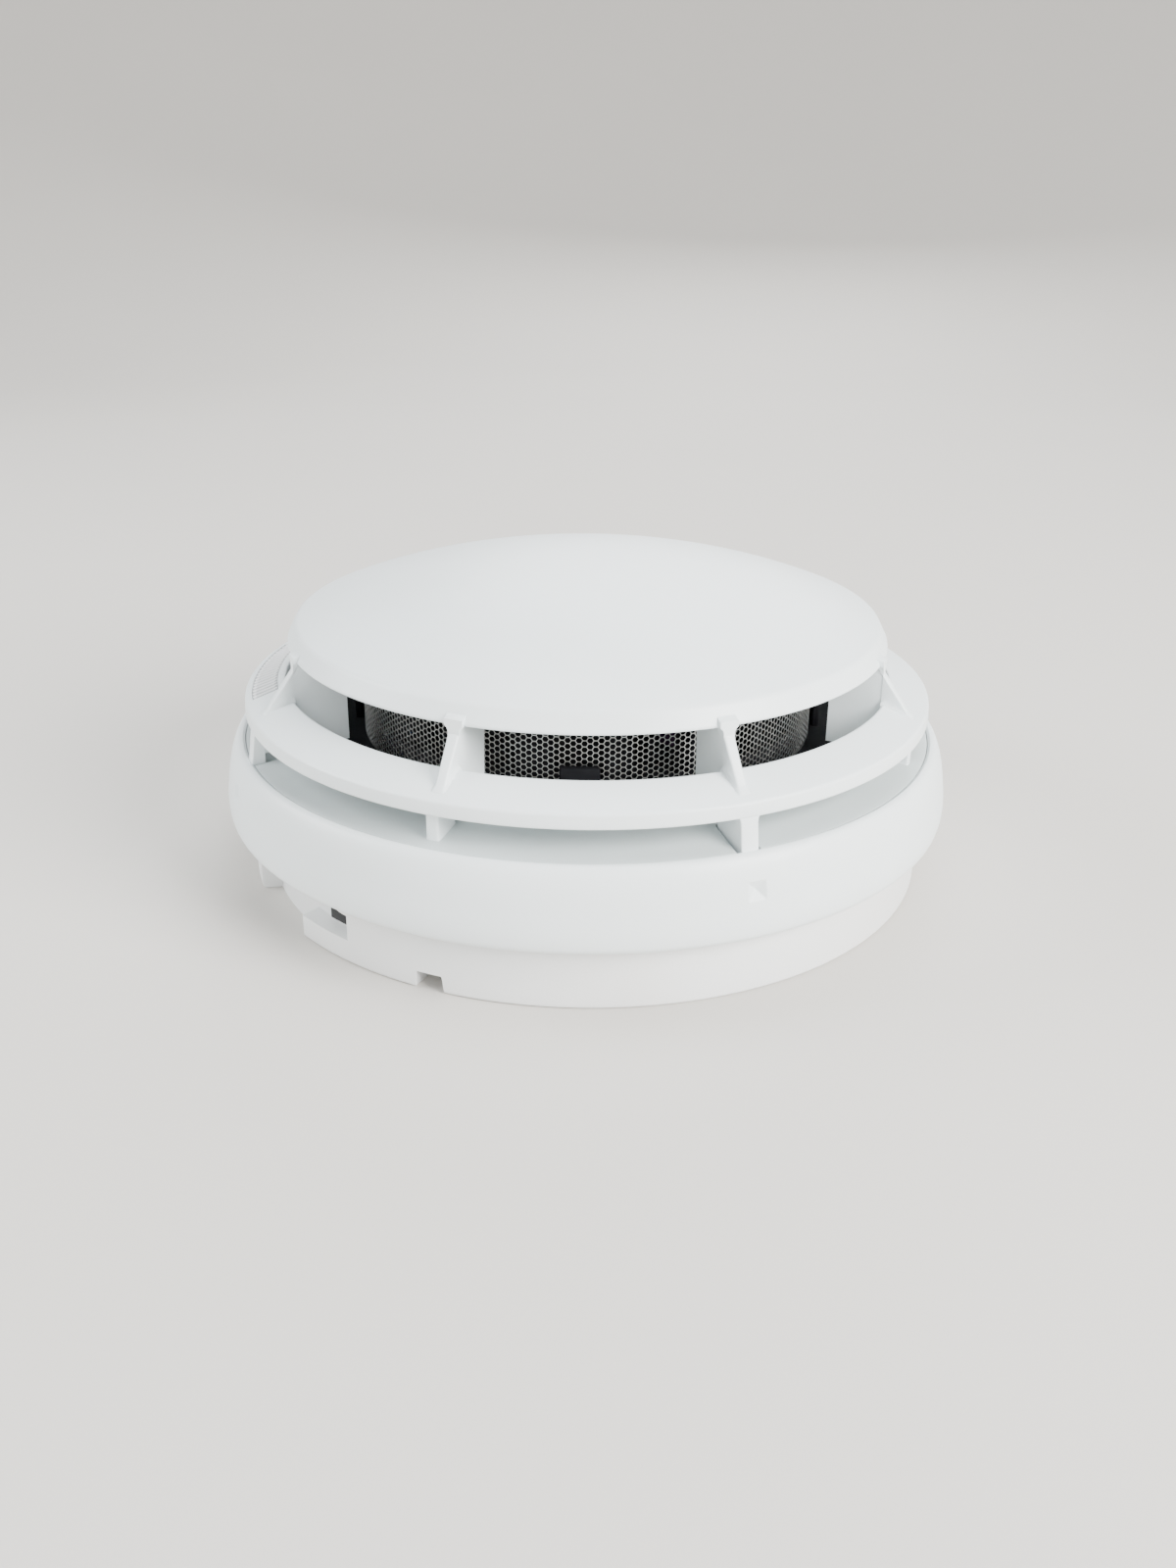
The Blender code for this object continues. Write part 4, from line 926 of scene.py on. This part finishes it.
def baseShells(look):
    # wall, pierced floor, collar, pads, and bayonet tabs with their stops
    holes = [circle(look["cableHole"], 96)]
    holes += [slotOutline(levelPoint(look["slotRadius"], bearing), look["slotLong"], look["slotWide"], bearing)
              for bearing in (0.0, 180.0)]
    holes += [circle(look["screwHole"], 24, levelPoint(look["screwRadius"], bearing))
              for bearing in screwBearings]
    shells = [baseWall(look), flatPlate(circle(47.5, 160), [hole[::-1] for hole in holes], *look["floor"], 0.18)]
    collar = roundProfile([(13.98, 2.75, 0.1), (15.6, 2.75, 0.1), (15.6, 6.4, 0.4), (13.98, 6.4, 0.4)], True, 3)
    shells.append(roundShell(bearingLines(3.0), collar[None]))
    half = look["tabHalf"]
    shells += [arcBlock(*look["pad"], middle - half, middle + half, 0.35) for middle in screwBearings]
    shells += [arcBlock(*look["tab"], middle - half, middle + half, 0.35) for middle in tabMiddles]
    shells += [arcBlock(*look["stop"], middle - half - 2.4, middle - half - 0.6, 0.25, 0.5)
               for middle in tabMiddles]
    return shells


makePiece("mountingBase", baseShells(baseSet), "base", baseWhite, ["base_housing"])


# blade of the latch with the tongue that a tool pushes inwards through the hole in the base's wall; its
# near-black finish is painted shade that makes the hole read dark
latchSet = {
    # radii, heights, start, end and edge
    "blade": ((45.6, 47.0), (4.35, 7.5), -57.0, -34.0, 0.2),
    "tongue": ((46.0, 50.4), (4.5, 7.08), -44.9, -40.0, 0.15),
}
makePiece("latchBlade", [arcBlock(*latchSet["blade"]), arcBlock(*latchSet["tongue"])], "latch", latchShadeBlack)
print("housing built")


carried = {
    # the lock latch also takes the near-black latch finish, painted shade behind the hole in the base's wall
    "lock_latch": latchShadeBlack, "latch_pin": screwSteel, "circuit_board": boardGreen, "microcontroller": chipBlack,
    "surge_suppressor": chipBlack, "smoothing_capacitor": canAluminium, "reed_switch": tubeGlass,
    "status_led": redTint, "chamber_lid": chamberBlack,
    "emitter_holder": chamberBlack, "receiver_holder": chamberBlack, "infrared_emitter": infraredTint,
    "photodiode": infraredTint,
}
carried.update({f"contact_{kind}_{number}": contactBrass for kind in ("strip", "blade")
                for number in range(1, 5)})
carried.update({f"{kind}_{number}": screwSteel for kind in ("clamp_washer", "terminal_screw")
                for number in range(1, 5)})
carried.update({f"board_screw_{number}": screwSteel for number in range(1, 4)})
for node, finish in carried.items():
    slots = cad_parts[node].material_slots
    for place in range(len(slots)):
        slots[place].material = finish.material
print("carried-over pieces dressed")


stageSet = {"flat": 0.55, "bend": 0.5, "pale": (0.60, 0.575, 0.54, 1)}


def makeFloor(look):
    # round floor that curves up all round: a flat disc, then a quarter circle
    share = np.linspace(0, 1, 24)
    turn = share * math.pi / 2
    radius = np.r_[np.linspace(0, look["flat"], 12), look["flat"] + look["bend"] * np.sin(turn[1:])]
    height = np.r_[np.zeros(12), look["bend"] * (1 - np.cos(turn[1:]))]
    bearings = np.arange(0, 360, 3.0)
    points = polar(radius[None], bearings[:, None], height[None])
    shell = weld(points.reshape(-1, 3) / mm, gridQuads(len(bearings), len(radius), True, False))
    mesh = bpy.data.meshes.new("paleFloor")
    mesh.from_pydata(shell[0] * mm, [], shell[1].tolist() + shell[2].tolist())
    mesh.shade_smooth()
    finish = Finish("paleFloor", {"Roughness": 0.75})
    finish.set("Base Color", finish.blend(finish.noise(0.12, 3.0), look["pale"],
                                          tuple(0.95 * part for part in look["pale"][:3]) + (1,)))
    finish.bump(finish.noise(0.0012, 3.0), 0.00003)
    mesh.materials.append(finish.material)
    floor = bpy.data.objects.new("paleFloor", mesh)
    bpy.context.scene.collection.objects.link(floor)


lightSet = {
    # where, size across, power, colour; every lamp looks at the middle of the detector
    "main": ((0.50, -0.40, 0.36), 0.42, 15.0, (1.0, 0.99, 0.97)),
    "front": ((-0.12, -0.62, 0.34), 0.50, 2.2, (0.95, 0.98, 1.0)),
    "left": ((-0.60, 0.02, 0.32), 0.40, 5.0, (0.95, 0.98, 1.0)),
    "top": ((0.10, 0.12, 0.80), 0.70, 6.5, (0.97, 0.99, 1.0)),
    "back": ((0.10, 0.60, 0.36), 0.50, 3.0, (0.97, 0.99, 1.0)),
}


def makeLights(lamps):
    for name, (place, size, power, colour) in lamps.items():
        lamp = bpy.data.lights.new(name + "Lamp", "AREA")
        lamp.shape, lamp.size, lamp.energy, lamp.color = "DISK", size, power, colour
        holder = bpy.data.objects.new(name + "Lamp", lamp)
        holder.location = place
        holder.rotation_euler = (Vector((0, 0, 0.02)) - Vector(place)).to_track_quat("-Z", "Y").to_euler()
        bpy.context.scene.collection.objects.link(holder)
    world = bpy.data.worlds.new("softSky")
    world.use_nodes = True
    sky = world.node_tree.nodes["Background"]
    sky.inputs["Color"].default_value = (0.93, 0.96, 1.0, 1)
    sky.inputs["Strength"].default_value = 0.27
    bpy.context.scene.world = world


makeFloor(stageSet)
makeLights(lightSet)
print("floor and light set")
